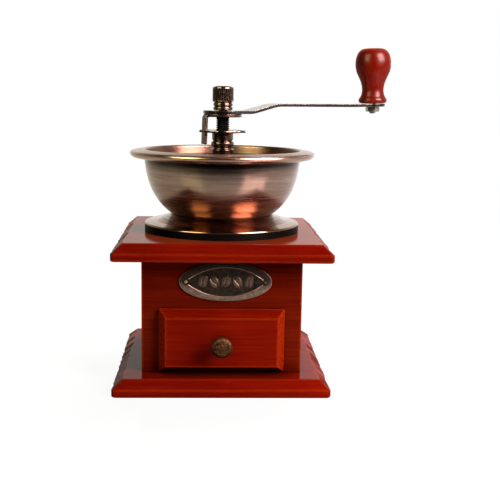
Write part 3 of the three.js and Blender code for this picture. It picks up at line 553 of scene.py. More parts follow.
def lacquered_wood(name, turn=(0, 0, 0), shift=(0, 34, 61), ring_width=5.5, depth=1.0, gloss=0.45,
                   bloom=0.0, coat_roughness=0.11, reach=1.8, grain_depth=0.22, edge_gloss=1.0,
                   upright_painted_light=1.0, brown=1.0, corner=9.0, hacked=0.0, ends=1.0):
    """Stained, lacquered wood. On a board's upright faces the coat is edge_gloss as strong as on
    its flat ones, and the colour is upright_painted_light as bright, which is painted light. Within
    corner millimetres of an inside corner the colour is painted darker, a painted shade, and a higher
    brown takes it from red towards brown. A share of hacked leaves dull dark marks across the bevelled
    ends, which are stain with painted shade in them. ends is how bright end grain is, and a raised
    value paints light onto the end bevels."""
    material, tree, shader, place = new_material(name)
    grained = along_grain(tree, place, turn)
    grain = use_group(tree, WOOD_GRAIN, {"Vector": grained, "Ring Width": ring_width, "Shift": shift})
    fibres = spread(tree, grain["Fibres"], 0.3, 0.7)
    tone = times_add(tree, grain["Rings"], -0.30, fibres)
    light, dark = 1 + grain_depth, 1 - grain_depth
    colour = ramp(tree, tone, [
        (0.0, (0.150 * depth * dark, 0.0030 * depth * dark * brown, 0.0003)),
        (0.5, (0.150 * depth, 0.0038 * depth * brown, 0.0004)),
        (1.0, (0.150 * depth * light, 0.0050 * depth * light * brown, 0.0005))])
    cloud = spread(tree, noise_at(tree, grained, 22.0, 1.0), 0.4, 0.65)
    colour = blend_colour(tree, cloud, colour, CLOUD_TINT, "MULTIPLY")
    colour = blend_colour(tree, times(tree, grain["Pores"], 0.35), colour, PORE_STAIN)

    facing = add_node(tree, "ShaderNodeNewGeometry").outputs["Normal"]
    endways = calc(tree, "ABSOLUTE", split(tree, along_grain(tree, facing, turn))["X"])
    end_grain = spread(tree, endways, 0.35, 0.75)
    speckle = spread(tree, noise_at(tree, place, 900.0), 0.35, 0.65)
    end_colour = ramp(tree, speckle, [
        (0.0, (0.110 * ends, 0.0036 * ends, 0.0005)),
        (1.0, (0.23 * ends, 0.014 * ends, 0.0015 * ends))])
    colour = blend_colour(tree, times(tree, end_grain, 0.8), colour, end_colour)

    # Painted light: upright faces are made upright_painted_light times as bright.
    level = spread(tree, calc(tree, "ABSOLUTE", split(tree, facing)["Z"]), 0.45, 0.95)
    colour = blend_colour(tree, all_but(tree, level), colour, (upright_painted_light,) * 3, "MULTIPLY")
    # Edges go over to the paler thin stain, which also stands for a painted highlight.
    wear = use_group(tree, EDGE_WEAR_AND_HIGHLIGHT, {
        "Vector": place, "Reach": reach, "Unevenness": 0.35, "Full At": 0.95})["Wear"]
    colour = blend_colour(tree, times(tree, wear, EDGE_HIGHLIGHT_SHARE), colour, EDGE_STAIN_AND_HIGHLIGHT)
    # Painted shade: near inside corners the colour darkens towards CORNER_SHADE.
    outside_corner_shade = spread(tree, openness(tree, corner), 0.15, 0.80)
    colour = blend_colour(tree, outside_corner_shade, CORNER_SHADE, colour)

    # Dull dark stripes across the end bevels: the hacked marks' stain, with painted shade.
    across = noise_at(tree, stretch(tree, place, (25, 190, 60)), 1.0, 1.0, distortion=0.6)
    marks = times(tree, spread(tree, across, 0.50, 0.56), times(tree, end_grain, level))
    marks = times(tree, marks, hacked, clamp=True)
    colour = blend_colour(tree, marks, colour, HACKED_STAIN_AND_SHADE)
    coat = spread(tree, level, 0.0, 1.0, gloss * edge_gloss, gloss)
    wire(tree, shader, {
        "Base Color": colour, "Roughness": times_add(tree, fibres, 0.12, 0.38),
        "Normal": bumped(tree, fibres, 0.10, 0.15), "Specular IOR Level": 0.0,
        "Sheen Weight": bloom, "Sheen Roughness": 0.25, "Sheen Tint": (*HAZE_TINT, 1),
        "Coat Weight": times(tree, coat, times_add(tree, marks, -0.85, 1.0)),
        "Coat Roughness": coat_roughness, "Coat IOR": 1.5})
    return material


# On the base board upright_painted_light paints light onto the upright faces.
LACQUER_LONG = lacquered_wood(
    "lacquered wood, base board", gloss=0.40, bloom=0.15, reach=2.2, edge_gloss=0.15, upright_painted_light=1.4,
    brown=0.85, corner=10.0, hacked=1.8)
LACQUER_TOP = lacquered_wood(
    "lacquered wood, top board", shift=(0, 21, 46), gloss=0.56, bloom=0.35, reach=2.0,
    edge_gloss=0.2, brown=0.8, hacked=1.8)
LACQUER_FRONT = lacquered_wood(
    "lacquered wood, case front", shift=(31, 88, 17), ring_width=9, depth=0.74, gloss=0.04,
    grain_depth=0.2, brown=1.7)
# ends=1.65 brightens the end grain, which paints light onto the drawer front's side bevels.
LACQUER_DRAWER = lacquered_wood(
    "lacquered wood, drawer front", shift=(5, 57, -24), ring_width=7, depth=1.02, gloss=0.03,
    grain_depth=0.2, reach=2.0, ends=1.65)
LACQUER_SIDE = lacquered_wood(
    "lacquered wood, grain from front to back", turn=(0, 0, QUARTER), shift=(8, 46, 29),
    ring_width=7, depth=0.78, gloss=0.15)
LACQUER_KNOB = lacquered_wood(
    "lacquered wood, turned knob", turn=(0, QUARTER, 0), shift=(0, 12, 9), ring_width=4,
    gloss=0.26, bloom=1.0, coat_roughness=0.26)
print("lacquered woods ready")

# %% [markdown]
# Inside, the drawer box and its guides are bare sanded beech: the same grain, pale, with no coat.

# %% Bare wood
def bare_wood(name, turn=(0, 0, 0), shift=(0, 25, 40)):
    material, tree, shader, place = new_material(name)
    grained = along_grain(tree, place, turn)
    grain = use_group(tree, WOOD_GRAIN, {"Vector": grained, "Ring Width": 3.4, "Shift": shift})
    fibres = spread(tree, grain["Fibres"], 0.3, 0.7)
    colour = ramp(tree, times_add(tree, grain["Rings"], -0.35, fibres), [
        (0.0, (0.30, 0.165, 0.075)), (0.55, (0.46, 0.285, 0.150)), (1.0, (0.58, 0.39, 0.23))])
    colour = blend_colour(tree, times(tree, grain["Pores"], 0.5), colour, (0.22, 0.11, 0.05))
    wire(tree, shader, {
        "Base Color": colour, "Roughness": times_add(tree, fibres, 0.15, 0.55),
        "Normal": bumped(tree, fibres, 0.3, 0.15)})
    return material


BEECH_LONG = bare_wood("bare beech, grain from side to side")
BEECH_DEEP = bare_wood("bare beech, grain from front to back", (0, 0, QUARTER), (4, 31, 22))
print("bare beech ready")

# %% [markdown]
# The bowl and its skirt are brass-brown copper, antiqued and brushed on the lathe. Brushing draws
# a highlight out across the scratches: rings round a bowl pull the light of a softbox into an
# upright streak. That is anisotropy, with its direction given by a tangent round the Z axis.
# Bump alone would need scratches finer than a render can hold. The polishing wheel doesn't
# reach everywhere, so the inside of the bowl stays dull. Under the bowl's rim and on the skirt's
# upright lip the colour is painted dark: antiquing, with painted shade under the rim's bead and a
# painted dark reflection on the lip. The skirt is darker close round its neck, and the lower wall
# of the bowl is tinted towards the red that it mirrors, a painted reflection.

# %% Antique copper
WALL_BROWN = (113, 103)                # heights between which the wall browns on its way down, a painted reflection of the red below
RIM_BRIGHT = (126.6, 127.6)            # and between which it turns into the polished rim
# The wall tint paints the lower wall towards the red that it mirrors: a painted reflection.
WALL_REFLECTION_TINT, RIM_TINT, INSIDE_TINT = (0.88, 0.63, 0.51), (1.40, 1.28, 1.24), (0.46, 0.40, 0.37)


def antique_copper(name, roughness, brushed, dark_low, dark_high, patina_and_shade_dark=0.020, dark_neck=0.0):
    """Brushed copper. From dark_low up to dark_high it is painted dark: antiquing, with painted shade
    and a painted dark reflection. It is darker as far out from the axis as dark_neck, all in
    millimetres. brushed is how rough the scratches are."""
    material, tree, shader, place = new_material(name)
    marks = use_group(tree, LATHE_BRUSHING, {"Vector": place})
    patina = use_group(tree, PATINA, {"Vector": place, "Size": 0.35})
    lines = times_add(tree, marks["Broad"], 0.55, times(tree, marks["Fine"], 0.45))
    lines = spread(tree, lines, 0.36, 0.64)
    colour = ramp(tree, lines, [
        (0.0, (0.175, 0.112, 0.088)), (0.5, (0.262, 0.176, 0.139)), (1.0, (0.350, 0.240, 0.192))])

    height = split(tree, in_millimetres(tree, place))["Z"]
    level = stretch(tree, in_millimetres(tree, place), (1, 1, 0))
    outward = vector_calc(tree, "NORMALIZE", level)[0]
    true = add_node(tree, "ShaderNodeNewGeometry").outputs["True Normal"]
    inner = spread(tree, vector_calc(tree, "DOT_PRODUCT", outward, true)["Value"], -0.5, -0.8)
    # Painted reflection: down the wall the colour is tinted towards the red board mirrored there.
    low_down = spread(tree, height, *WALL_BROWN)
    rim = spread(tree, height, *RIM_BRIGHT)
    for share, tint in ((low_down, WALL_REFLECTION_TINT), (rim, RIM_TINT), (inner, INSIDE_TINT)):
        colour = blend_colour(tree, share, colour, tint, "MULTIPLY")
    colour = blend_colour(tree, times(tree, patina["Clouds"], 0.25), colour, (0.20, 0.125, 0.085))

    # Painted dark band from dark_low to dark_high: antiquing, with painted shade under the rim's bead
    # and a painted dark reflection on the skirt's lip.
    above = spread(tree, height, dark_low, dark_low + 5.5)
    patina_and_shade_band = times(tree, above, spread(tree, height, dark_high + 0.4, dark_high))
    softer = times_add(tree, low_down, 0.65, times(tree, rim, 0.6))
    metal = 1.0
    if dark_neck:
        radius = vector_calc(tree, "LENGTH", level)["Value"]
        near = spread(tree, radius, dark_neck, dark_neck - 2.0, 0.0, 0.35)
        colour = blend_colour(tree, near, colour, (0.030, 0.016, 0.010))
        softer = times(tree, patina_and_shade_band, 2.0)
        metal = all_but(tree, patina_and_shade_band)
    # The band's colour: antiquing, painted shade and painted dark reflection.
    antiqued = (patina_and_shade_dark * 1.5, patina_and_shade_dark, patina_and_shade_dark * 0.8)
    rough = times_add(tree, calc(tree, "SUBTRACT", lines, 0.5), 0.12 * brushed, roughness)
    tangent = add_node(tree, "ShaderNodeTangent", direction_type="RADIAL", axis="Z").outputs[0]
    wire(tree, shader, {
        "Base Color": blend_colour(tree, patina_and_shade_band, colour, antiqued),
        "Roughness": times_add(tree, larger(tree, softer, inner), 0.16, rough),
        "Normal": bumped(tree, lines, 0.22 * brushed, 0.05), "Metallic": metal,
        "Specular IOR Level": 0.01, "Anisotropic": 0.60, "Anisotropic Rotation": 0.25,
        "Tangent": tangent})
    return material


COPPER = antique_copper("antique copper, brushed", 0.185, 1.0, 119.5, 126.6)
COPPER_SKIRT = antique_copper("antique copper, skirt", 0.14, 0.4, 60.0, 88.4, 0.003, 36.5)
print("copper ready")

# %% [markdown]
# The small turned parts, the clip, the plate and the pull are antiqued darker. One recipe serves
# them all: a clouded brown metal, its edges rubbed back to the brighter metal below. The pull is
# rough cast, so its clouds are dents as well. The plate and the arm also have zones of their own,
# and each zone rule says where the metal is dark, with patina, painted shade and a painted dark
# reflection, and where it is rubbed bright, with some painted light.

# %% Dark metals
def dark_metal(name, base, rubbed, roughness=0.32, cloud_size=1.0, wear_reach=0.5, wear=0.7,
               bumpiness=0.15, clouded=0.45, recess=0.0, zones=None, metal=1.0, pitted=0.0):
    """Clouds take the base colour down to clouded times itself, and recess is how much hollows
    are blackened. pitted is how deep the clouds lie as dents."""
    material, tree, shader, place = new_material(name)
    patina = use_group(tree, PATINA, {"Vector": place, "Size": cloud_size})
    clouds = patina["Clouds"]
    colour = blend_colour(tree, clouds, tuple(clouded * c for c in base), base)
    edge = {"Vector": place, "Reach": wear_reach, "Unevenness": 0.3}
    edge = use_group(tree, EDGE_WEAR_AND_HIGHLIGHT, edge)["Wear"]
    colour = blend_colour(tree, times(tree, edge, wear), colour, rubbed)
    if recess:
        hollow = times(tree, spread(tree, openness(tree, 1.6), 0.85, 0.35), recess)
        colour = blend_colour(tree, hollow, colour, (0.010, 0.007, 0.006))
    # Zone colours: the dark share is patina, painted shade and painted dark reflection, and the bright
    # share is rubbed metal, with painted light on the plate's lower border.
    if zones:
        patina_and_shade_dark, bright = zones(tree, place)
        colour = blend_colour(tree, bright, colour, rubbed)
        patina_and_shade_dark = times(tree, patina_and_shade_dark, spread(tree, clouds, 0, 1, 0.95, 0.70))
        colour = blend_colour(tree, patina_and_shade_dark, colour, (0.014, 0.012, 0.010))
    rough = times_add(tree, clouds, -0.10, roughness + 0.05)
    height = times_add(tree, clouds, pitted, patina["Grain"])
    wire(tree, shader, {
        "Base Color": colour, "Roughness": times_add(tree, patina["Grain"], 0.08, rough),
        "Normal": bumped(tree, height, bumpiness, 0.08), "Metallic": metal,
        "Specular IOR Level": 0.5 * metal})
    return material


FIELD_HALF = (22.0, 7.95)              # the plate's sunken field, a pointed oval, in millimetres
PIN_REACH = 22.0                       # from the middle of the plate to each pin


def plate_zones(tree, place):
    """Dark: the floor of the field; the pin holes, a painted shade; and most of the upper border, a
    painted shadow of the top board. Bright: the raised line, the outer edge and streaks on the
    lower border, where a polishing cloth reaches; the streaks are also painted light."""
    low, high = extent("name_plate")
    front = low.y - high.y             # the plate's face, from its back
    spot = vector_calc(tree, "SUBTRACT", place, tuple(middle("name_plate") * MM))[0]
    spot = split(tree, in_millimetres(tree, spot))
    sunk = calc(tree, "SUBTRACT", spot["Y"], front / 2)

    def distance(x, z):
        return calc(tree, "SQRT", calc(
            tree, "ADD", calc(tree, "POWER", x, 2.0), calc(tree, "POWER", z, 2.0)))

    half_x, half_z = FIELD_HALF
    radius = (half_x ** 2 + half_z ** 2) / (2 * half_z)
    up = calc(tree, "ADD", calc(tree, "ABSOLUTE", spot["Z"]), radius - half_z)
    reach = distance(spot["X"], up)
    upper = spread(tree, spot["Z"], -4.0, 1.5)

    inside_line = spread(tree, reach, radius + 0.05, radius - 0.15)
    floor = times(tree, inside_line, spread(tree, sunk, 0.12, 0.42))
    on_line = spread(tree, reach, radius - 0.1, radius + 0.1)
    line = times(tree, on_line, spread(tree, sunk, 0.16, 0.06))
    line = times(tree, line, times_add(tree, upper, 0.6, 0.4))
    far_out = spread(tree, reach, radius + 0.9, radius + 1.1)
    rim = times(tree, spread(tree, sunk, 0.50, 0.58), far_out)
    border = times(tree, spread(tree, reach, radius + 0.4, radius + 0.7), all_but(tree, rim))
    # Painted shadow of the top board over the upper border.
    shaded = times(tree, times(tree, border, upper), 0.75)
    # Lighter streaks on the lower border: rubbing, and painted light.
    streaks = noise_at(tree, stretch(tree, place, (500, 500, 1400)), 1.0)
    streaks = spread(tree, streaks, 0.35, 0.6, 0.0, 0.25)
    foot = times(tree, times(tree, border, all_but(tree, upper)), streaks)
    # Painted shade in the pin holes.
    beside = calc(tree, "SUBTRACT", calc(tree, "ABSOLUTE", spot["X"]), PIN_REACH)
    hole = spread(tree, distance(beside, spot["Z"]), 2.1, 1.9)
    bright = larger(tree, line, larger(tree, times(tree, rim, 0.6), foot))
    return larger(tree, larger(tree, floor, shaded), hole), bright


def strip_zones(tree, place):
    """Dark: a strip's cut edges, painted dark for the dark room that they mirror, a painted
    reflection. Its flat faces keep their plating.
    """
    true = add_node(tree, "ShaderNodeNewGeometry").outputs["True Normal"]
    return spread(tree, calc(tree, "ABSOLUTE", split(tree, true)["Z"]), 0.85, 0.5), 0.0


print("dark metal recipe ready")

# %% Metals of this grinder
BRONZE = dark_metal(
    "dark bronze, turned", (0.150, 0.098, 0.075), (0.26, 0.17, 0.13), 0.16,
    cloud_size=0.6, wear_reach=0.3, wear=0.15, bumpiness=0.02, clouded=0.7, recess=0.7)
CLIP_BRONZE = dark_metal(
    "dark bronze, sheet", (0.135, 0.090, 0.070), (0.30, 0.20, 0.15), 0.22,
    wear_reach=0.4, wear=0.4, bumpiness=0.1, clouded=0.5, recess=0.5)
PLATE_BRONZE = dark_metal(
    "dark bronze, plate", (0.200, 0.130, 0.098), (0.62, 0.45, 0.37), 0.34,
    cloud_size=1.6, wear_reach=0.4, wear=0.0, bumpiness=0.08, clouded=0.6, zones=plate_zones)
PULL_BRONZE = dark_metal(
    "mottled bronze, drawer pull", (0.070, 0.033, 0.014), (0.11, 0.055, 0.024), 0.46,
    cloud_size=1.7, wear_reach=0.4, wear=0.3, bumpiness=0.9, clouded=0.16, pitted=3.5)
ARM_METAL = dark_metal(
    "nickelled arm strip", (0.46, 0.43, 0.39), (0.50, 0.47, 0.43), 0.16,
    cloud_size=0.5, wear_reach=0.3, wear=0.1, bumpiness=0.04, clouded=0.6, zones=strip_zones)
BLACK_STEEL = dark_metal(
    "black oxide steel", (0.006, 0.0055, 0.0055), (0.060, 0.054, 0.048), 0.42,
    wear_reach=0.25, bumpiness=0.2, metal=0.0)
STEEL = dark_metal(
    "bright steel", (0.40, 0.39, 0.37), (0.60, 0.59, 0.57), 0.28,
    cloud_size=0.8, wear_reach=0.3, wear=0.4, bumpiness=0.1)
BRASS = dark_metal(
    "satin brass", (0.52, 0.35, 0.14), (0.75, 0.55, 0.28), 0.30,
    cloud_size=0.8, wear_reach=0.3, wear=0.5, bumpiness=0.1)
CAST_IRON = dark_metal(
    "cast iron", (0.085, 0.082, 0.080), (0.20, 0.19, 0.18), 0.55,
    cloud_size=1.4, wear=0.5, bumpiness=1.0)
print("dark and bright metals ready")

# %% [markdown]
# ## Making meshes
#
# Most pieces here are turned, extruded or bent from strip, and the mesh code says so: a profile
# with rounded corners, a lathe, a skin over a stack of rings, and a flat blank that is cut from
# an outline and bent. Modelling by hand would do as well, but written profiles keep every radius
# readable and come out the same on every run. Every piece takes its body from the construction
# node that it stands for.

# %% Profiles
def fillet(corners, steps=5):
    """A line with rounded corners. Each corner is (across, up, radius), and radius 0 stays sharp."""
    line = []
    for i, (across, up, radius) in enumerate(corners):
        here = Vector((across, up))
        if radius == 0 or i in (0, len(corners) - 1):
            line.append((across, up))
            continue
        before = (Vector(corners[i - 1][:2]) - here).normalized()
        after = (Vector(corners[i + 1][:2]) - here).normalized()
        half = before.angle(after) / 2
        centre = here + (before + after).normalized() * (radius / math.sin(half))
        first = here + before * (radius / math.tan(half)) - centre
        last = here + after * (radius / math.tan(half)) - centre
        start = math.atan2(first.y, first.x)
        sweep = (math.atan2(last.y, last.x) - start + math.pi) % TURN - math.pi
        for k in range(steps + 1):
            angle = start + sweep * k / steps
            line.append((centre.x + radius * math.cos(angle), centre.y + radius * math.sin(angle)))
    return line


def bezier(a, b, c, d, steps):
    """Points on a cubic curve, both ends included."""
    points = []
    for k in range(steps + 1):
        t = k / steps
        weights = ((1 - t) ** 3, 3 * t * (1 - t) ** 2, 3 * t * t * (1 - t), t ** 3)
        points.append(tuple(
            sum(w * p[axis] for w, p in zip(weights, (a, b, c, d))) for axis in (0, 1)))
    return points


SAME_POINT = 1e-4                      # millimetres


def apart(a, b):
    return (Vector(a) - Vector(b)).length >= SAME_POINT


def without_doubles(line):
    kept = [line[0]]
    for point in line[1:]:
        if apart(point, kept[-1]):
            kept.append(point)
    return kept


print(len(fillet([(0, 0, 0), (5, 0, 1), (5, 5, 0)])), "points in a rounded corner")

# %% Skins
def turned(profile, segments, shape=None):
    """Turns (radius, height) pairs about Z. A profile that ends where it starts closes on itself.
    shape(radius, height, angle) can change the radius round the axis, for flutes and threads."""
    line = without_doubles(profile)
    closed = not apart(line[0], line[-1])
    if closed:
        line = line[:-1]
    points, rings = [], []
    for radius, height in line:
        start = len(points)
        if radius < 1e-6:
            points.append((0, 0, height))
            rings.append([start] * segments)
            continue
        for i in range(segments):
            angle = TURN * i / segments
            r = shape(radius, height, angle) if shape else radius
            points.append((r * math.cos(angle), r * math.sin(angle), height))
        rings.append(list(range(start, start + segments)))
    return points, skin(rings, closed)


def skin(rings, closed):
    """Faces between neighbouring rings of vertex numbers. A ring of one repeated number is a point."""
    faces = []
    for a, b in zip(rings, rings[1:] + (rings[:1] if closed else [])):
        for i in range(len(a)):
            j = (i + 1) % len(a)
            face = list(dict.fromkeys((a[i], a[j], b[j], b[i])))
            if len(face) > 2:
                faces.append(face)
    return faces


def lofted(stack, closed=False):
    """Skins a stack of rings of points. An open stack gets a flat face on each end."""
    count = len(stack[0])
    points = [p for ring in stack for p in ring]
    rings = [list(range(i * count, (i + 1) * count)) for i in range(len(stack))]
    faces = skin(rings, closed)
    if not closed:
        faces += [rings[0][::-1], rings[-1]]
    return points, faces


def rounded_ring(half_x, half_y, corner, height, along=1, steps=6):
    """A rectangle with round corners at one height. Its straight sides are in along parts each."""
    arcs = []
    for quarter, (sx, sy) in enumerate([(1, 1), (-1, 1), (-1, -1), (1, -1)]):
        arc = []
        for i in range(steps + 1):
            angle = (quarter + i / steps) * QUARTER
            x = sx * (half_x - corner) + corner * math.cos(angle)
            y = sy * (half_y - corner) + corner * math.sin(angle)
            arc.append(Vector((x, y, height)))
        arcs.append(arc)
    ring = []
    for arc, following in zip(arcs, arcs[1:] + arcs[:1]):
        ring += arc
        ring += [arc[-1].lerp(following[0], k / along) for k in range(1, along)]
    return ring


print("skins ready")

# %% Pieces
MERGE = 0.0005 * MM                    # points this close become one


def in_scene(name, data):
    made = bpy.data.objects.new(name, data)
    bpy.context.scene.collection.objects.link(made)
    return made


def new_object(name, points, faces):
    """A mesh object from millimetre points, with its faces turned outwards."""
    mesh = bpy.data.meshes.new(name)
    mesh.from_pydata([Vector(p) * MM for p in points], [], faces)
    cleaned = bmesh.new()
    cleaned.from_mesh(mesh)
    bmesh.ops.remove_doubles(cleaned, verts=cleaned.verts, dist=MERGE)
    bmesh.ops.dissolve_degenerate(cleaned, edges=cleaned.edges, dist=MERGE)
    bmesh.ops.recalc_face_normals(cleaned, faces=cleaned.faces)
    cleaned.to_mesh(mesh)
    cleaned.free()
    return in_scene(name, mesh)


def settle(made, node, material, crease=34, place=None):
    """Finishes a piece: smooth faces, a material, and the body of its construction node.
    crease is the angle in degrees from which an edge stays sharp."""
    mesh = made.data
    mesh.materials.clear()
    mesh.materials.append(material)
    mesh.shade_smooth()
    mesh.set_sharp_from_angle(angle=math.radians(crease))
    made.modifiers.new("even normals", "WEIGHTED_NORMAL").keep_sharp = True
    if place is not None:
        mesh.transform(place)
    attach(made, BODY_OF[node])
    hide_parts(node)
    return made


def piece(name, shape, node, material, **options):
    return settle(new_object(name, *shape), node, material, **options)


def final_mesh(made):
    """An object's mesh with its modifiers applied."""
    seen = made.evaluated_get(bpy.context.evaluated_depsgraph_get())
    return bpy.data.meshes.new_from_object(seen)


def combine(made, tool, operation):
    """Cuts the tool out of a piece, adds it, or keeps the common part, then removes the tool."""
    cut = made.modifiers.new("cut", "BOOLEAN")
    cut.operation, cut.object, cut.solver = operation, tool, "EXACT"
    final = final_mesh(made)
    made.modifiers.clear()
    made.data = final
    bpy.data.objects.remove(tool)
    return made


def cut_out(made, shape):
    return combine(made, new_object("tool", *shape), "DIFFERENCE")


def add_on(made, shape):
    return combine(made, new_object("tool", *shape), "UNION")


def moved(shape, x, y):
    """A shape of points and faces, moved sideways."""
    points, faces = shape
    return [(p[0] + x, p[1] + y, p[2]) for p in points], faces


def drill(made, x, y, radius, low, high, segments=32):
    """A straight hole along Z."""
    hole = turned([(0, low), (radius, low), (radius, high), (0, high)], segments)
    return cut_out(made, moved(hole, x, y))


def block(low, high, edge, steps=3):
    """A box with rounded edges, as points and faces."""
    made = bmesh.new()
    bmesh.ops.create_cube(made, size=1)
    size = Vector(high) - Vector(low)
    centre = (Vector(high) + Vector(low)) / 2
    for vertex in made.verts:
        vertex.co = Vector(a * b for a, b in zip(vertex.co, size)) + centre
    if edge:
        bmesh.ops.bevel(
            made, geom=made.edges[:], offset=edge, segments=steps, profile=0.5, affect="EDGES")
    made.verts.index_update()
    shape = [v.co.copy() for v in made.verts], [[v.index for v in f.verts] for f in made.faces]
    made.free()
    return shape


print("piece helpers ready")

# %% [markdown]
# A flat part is cut from sheet: an outline with its holes, some thickness and softened edges. A
# filled 2D curve does exactly that, holes included. Sliced across where it bends, the blank then
# takes a bend without a wrinkle.

# %% Sheet blanks
def blank(name, outlines, thick, edge, slices=()):
    """A flat part from closed outlines, the first one outside and the rest holes, centred on z 0."""
    curve = bpy.data.curves.new(name, "CURVE")
    curve.dimensions, curve.fill_mode = "2D", "BOTH"
    curve.extrude = (thick / 2 - edge) * MM
    curve.bevel_depth, curve.bevel_resolution = edge * MM, 2
    curve.offset = -edge * MM
    for outline in outlines:
        spline = curve.splines.new("POLY")
        spline.points.add(len(outline) - 1)
        for point, (x, y) in zip(spline.points, outline):
            point.co = (x * MM, y * MM, 0, 1)
        spline.use_cyclic_u = True
    filled = in_scene(name, curve)
    mesh = final_mesh(filled)
    bpy.data.objects.remove(filled)
    cutter = bmesh.new()
    cutter.from_mesh(mesh)
    bmesh.ops.remove_doubles(cutter, verts=cutter.verts, dist=MERGE)
    for x in slices:
        everything = cutter.verts[:] + cutter.edges[:] + cutter.faces[:]
        bmesh.ops.bisect_plane(
            cutter, geom=everything, dist=1e-7, plane_co=(x * MM, 0, 0), plane_no=(1, 0, 0))
    bmesh.ops.recalc_face_normals(cutter, faces=cutter.faces)
    cutter.to_mesh(mesh)
    cutter.free()
    return in_scene(name, mesh)


def reshape(made, move):
    """Moves every vertex by a rule in millimetres."""
    for vertex in made.data.vertices:
        vertex.co = Vector(move(vertex.co / MM)) * MM
    return made


def mirrored_across(line):
    """A line's mirror image in the X axis, in the opposite order, to close an outline."""
    return [(x, -y) for x, y in reversed(line)]


def arc_line(radius, start, sweep, steps):
    """Points on a circle round the axis, both ends included."""
    angles = [start + sweep * i / steps for i in range(steps + 1)]
    return [(radius * math.cos(a), radius * math.sin(a)) for a in angles]


def round_hole(radius, x, segments):
    return [(x + px, py) for px, py in arc_line(radius, 0, TURN, segments)[:-1]]


SPINDLE_HALF = 2.8                     # half of the square hole that fits the spindle's upper end


def spindle_hole():
    h = SPINDLE_HALF
    return [(h, h), (-h, h), (-h, -h), (h, -h)]


print("sheet helpers ready")

# %% [markdown]
# ## The two boards
#
# Base and top board are the same 120 mm square with a wide chamfer round the upper edge. Their
# ends show end grain, where the cutter chatters: the chamfer there is scalloped and its upper
# edge wanders. A bevel modifier could make the chamfer, but not let it wander. So each board is
# a stack of rounded squares, and on the chamfer the rings are cut back unevenly along the two
# ends, by a smooth noise that is the same on every run.

# %% Boards
SCALLOP = 9.0                          # length of one chatter mark along the end
SCALLOP_DEPTH = 0.85
END_WIDTH = 12.0                       # only points this near to an end are cut back
CORNER_KEPT, CORNER_FADE = 3.0, 6.0    # and not right at the corners
BELOW_CHAMFER, DEEPENING = 1.6, 1.8    # where the marks start, and over what height they deepen
WANDER_ROW, UNEVEN_ROW = 7.3, 2.1      # rows of the noise, so that the two ends differ
WANDER_RATE, UNEVEN_RATE = 0.045, 0.09  # how fast it changes along an end
BOARD_CORNER = 2.2
ALONG = 100                            # parts along each side of a board


def scallops(x, y, half, share):
    """How far a point is cut back: not at all on the long faces, and fully along the ends."""
    if abs(x) < half - END_WIDTH:
        return 0.0
    on_end = min(1.0, max(0.0, (half - CORNER_KEPT - abs(y)) / CORNER_FADE))
    side = 1 if x > 0 else -1
    wander = noise.noise(Vector((side * WANDER_ROW, y * WANDER_RATE, 0.0)))
    mark = (y / SCALLOP + 1.6 * wander + side * 0.31) % 1.0
    uneven = 0.6 + 0.8 * noise.noise(Vector((side * UNEVEN_ROW, y * UNEVEN_RATE, 5.0)))
    bite = 4 * mark * (1 - mark) * uneven + 0.5 * (wander + 0.3)
    return share * on_end * SCALLOP_DEPTH * max(0.0, bite)


def board_rings(node, chamfer_start, inset):
    """The levels of a board from its lower edge to its upper one, as rings of points."""
    low, high = extent(node)
    half, inner = high.x, high.x - 14
    profile = fillet([
        (inner, low.z, 0), (half, low.z, 1.1), (half, chamfer_start, 0.7),
        (half - inset, high.z, 0.8), (inner, high.z, 0)], steps=4)
    rings = []
    for reach, height in profile:
        corner = max(BOARD_CORNER - (half - reach) * 0.28, 0.7)
        ring = rounded_ring(reach, reach, corner, height, ALONG)
        share = max(0.0, min(1.0, (height - chamfer_start + BELOW_CHAMFER) / DEEPENING))
        for point in ring:
            point.x -= math.copysign(scallops(point.x, point.y, half, share), point.x)
        rings.append(ring)
    return rings


def base_plank():
    made = new_object("base_plank", *lofted(board_rings("base_board", 4.4, 5.6)))
    countersink = turned([(0, -1), (4.1, -1), (4.1, 0.3), (2.2, 2.8), (2.2, 12), (0, 12)], 32)
    for i in (1, 2, 3, 4):
        spot = middle(f"base_screw_{i}")
        cut_out(made, moved(countersink, spot.x, spot.y))
    return settle(made, "base_board", LACQUER_LONG)


def top_plank():
    low, high = extent("top_board")
    hole = 26.0                        # radius, for the burr housing to hang in
    rings = board_rings("top_board", 79.3, 5.7)

    def hole_ring(height):
        flat = [Vector((hole * p.x, hole * p.y, 0)) / math.hypot(p.x, p.y) for p in rings[0]]
        return [p + Vector((0, 0, height)) for p in flat]

    stack = [hole_ring(low.z), *rings, hole_ring(high.z)]
    return piece("top_plank", lofted(stack, closed=True), "top_board", LACQUER_TOP)


base_plank()
top_plank()
print("upper corner of the top board, mm:", [round(v, 1) for v in extent("top_board")[1]])

# %% [markdown]
# ## The case
#
# Four panels stand between the boards. The front one is cut away for the drawer. A cutting tool
# would leave the opening's edges sharp, so it is a flat blank of that outline, softened all
# round and stood upright. The others are plain boards with softened edges, and so are the two
# guides that the drawer slides between.

# %% Case panels
def stood_up(made, back):
    """Turns a flat blank so that its upper face looks to the front, with its back face at y = back."""
    thick = max(v.co.z for v in made.data.vertices) / MM
    return reshape(made, lambda p: (p.x, back - thick - p.z, p.y))


def front_panel():
    low, high = extent("body_front")
    opening, top = 31.7, 41.0          # half the drawer opening's width, and its upper edge
    outline = [
        (low.x, low.z), (-opening, low.z), (-opening, top), (opening, top), (opening, low.z),
        (high.x, low.z), (high.x, high.z), (low.x, high.z)]
    made = blank("front_panel", [outline], high.y - low.y, 0.6)
    return settle(stood_up(made, high.y), "body_front", LACQUER_FRONT)


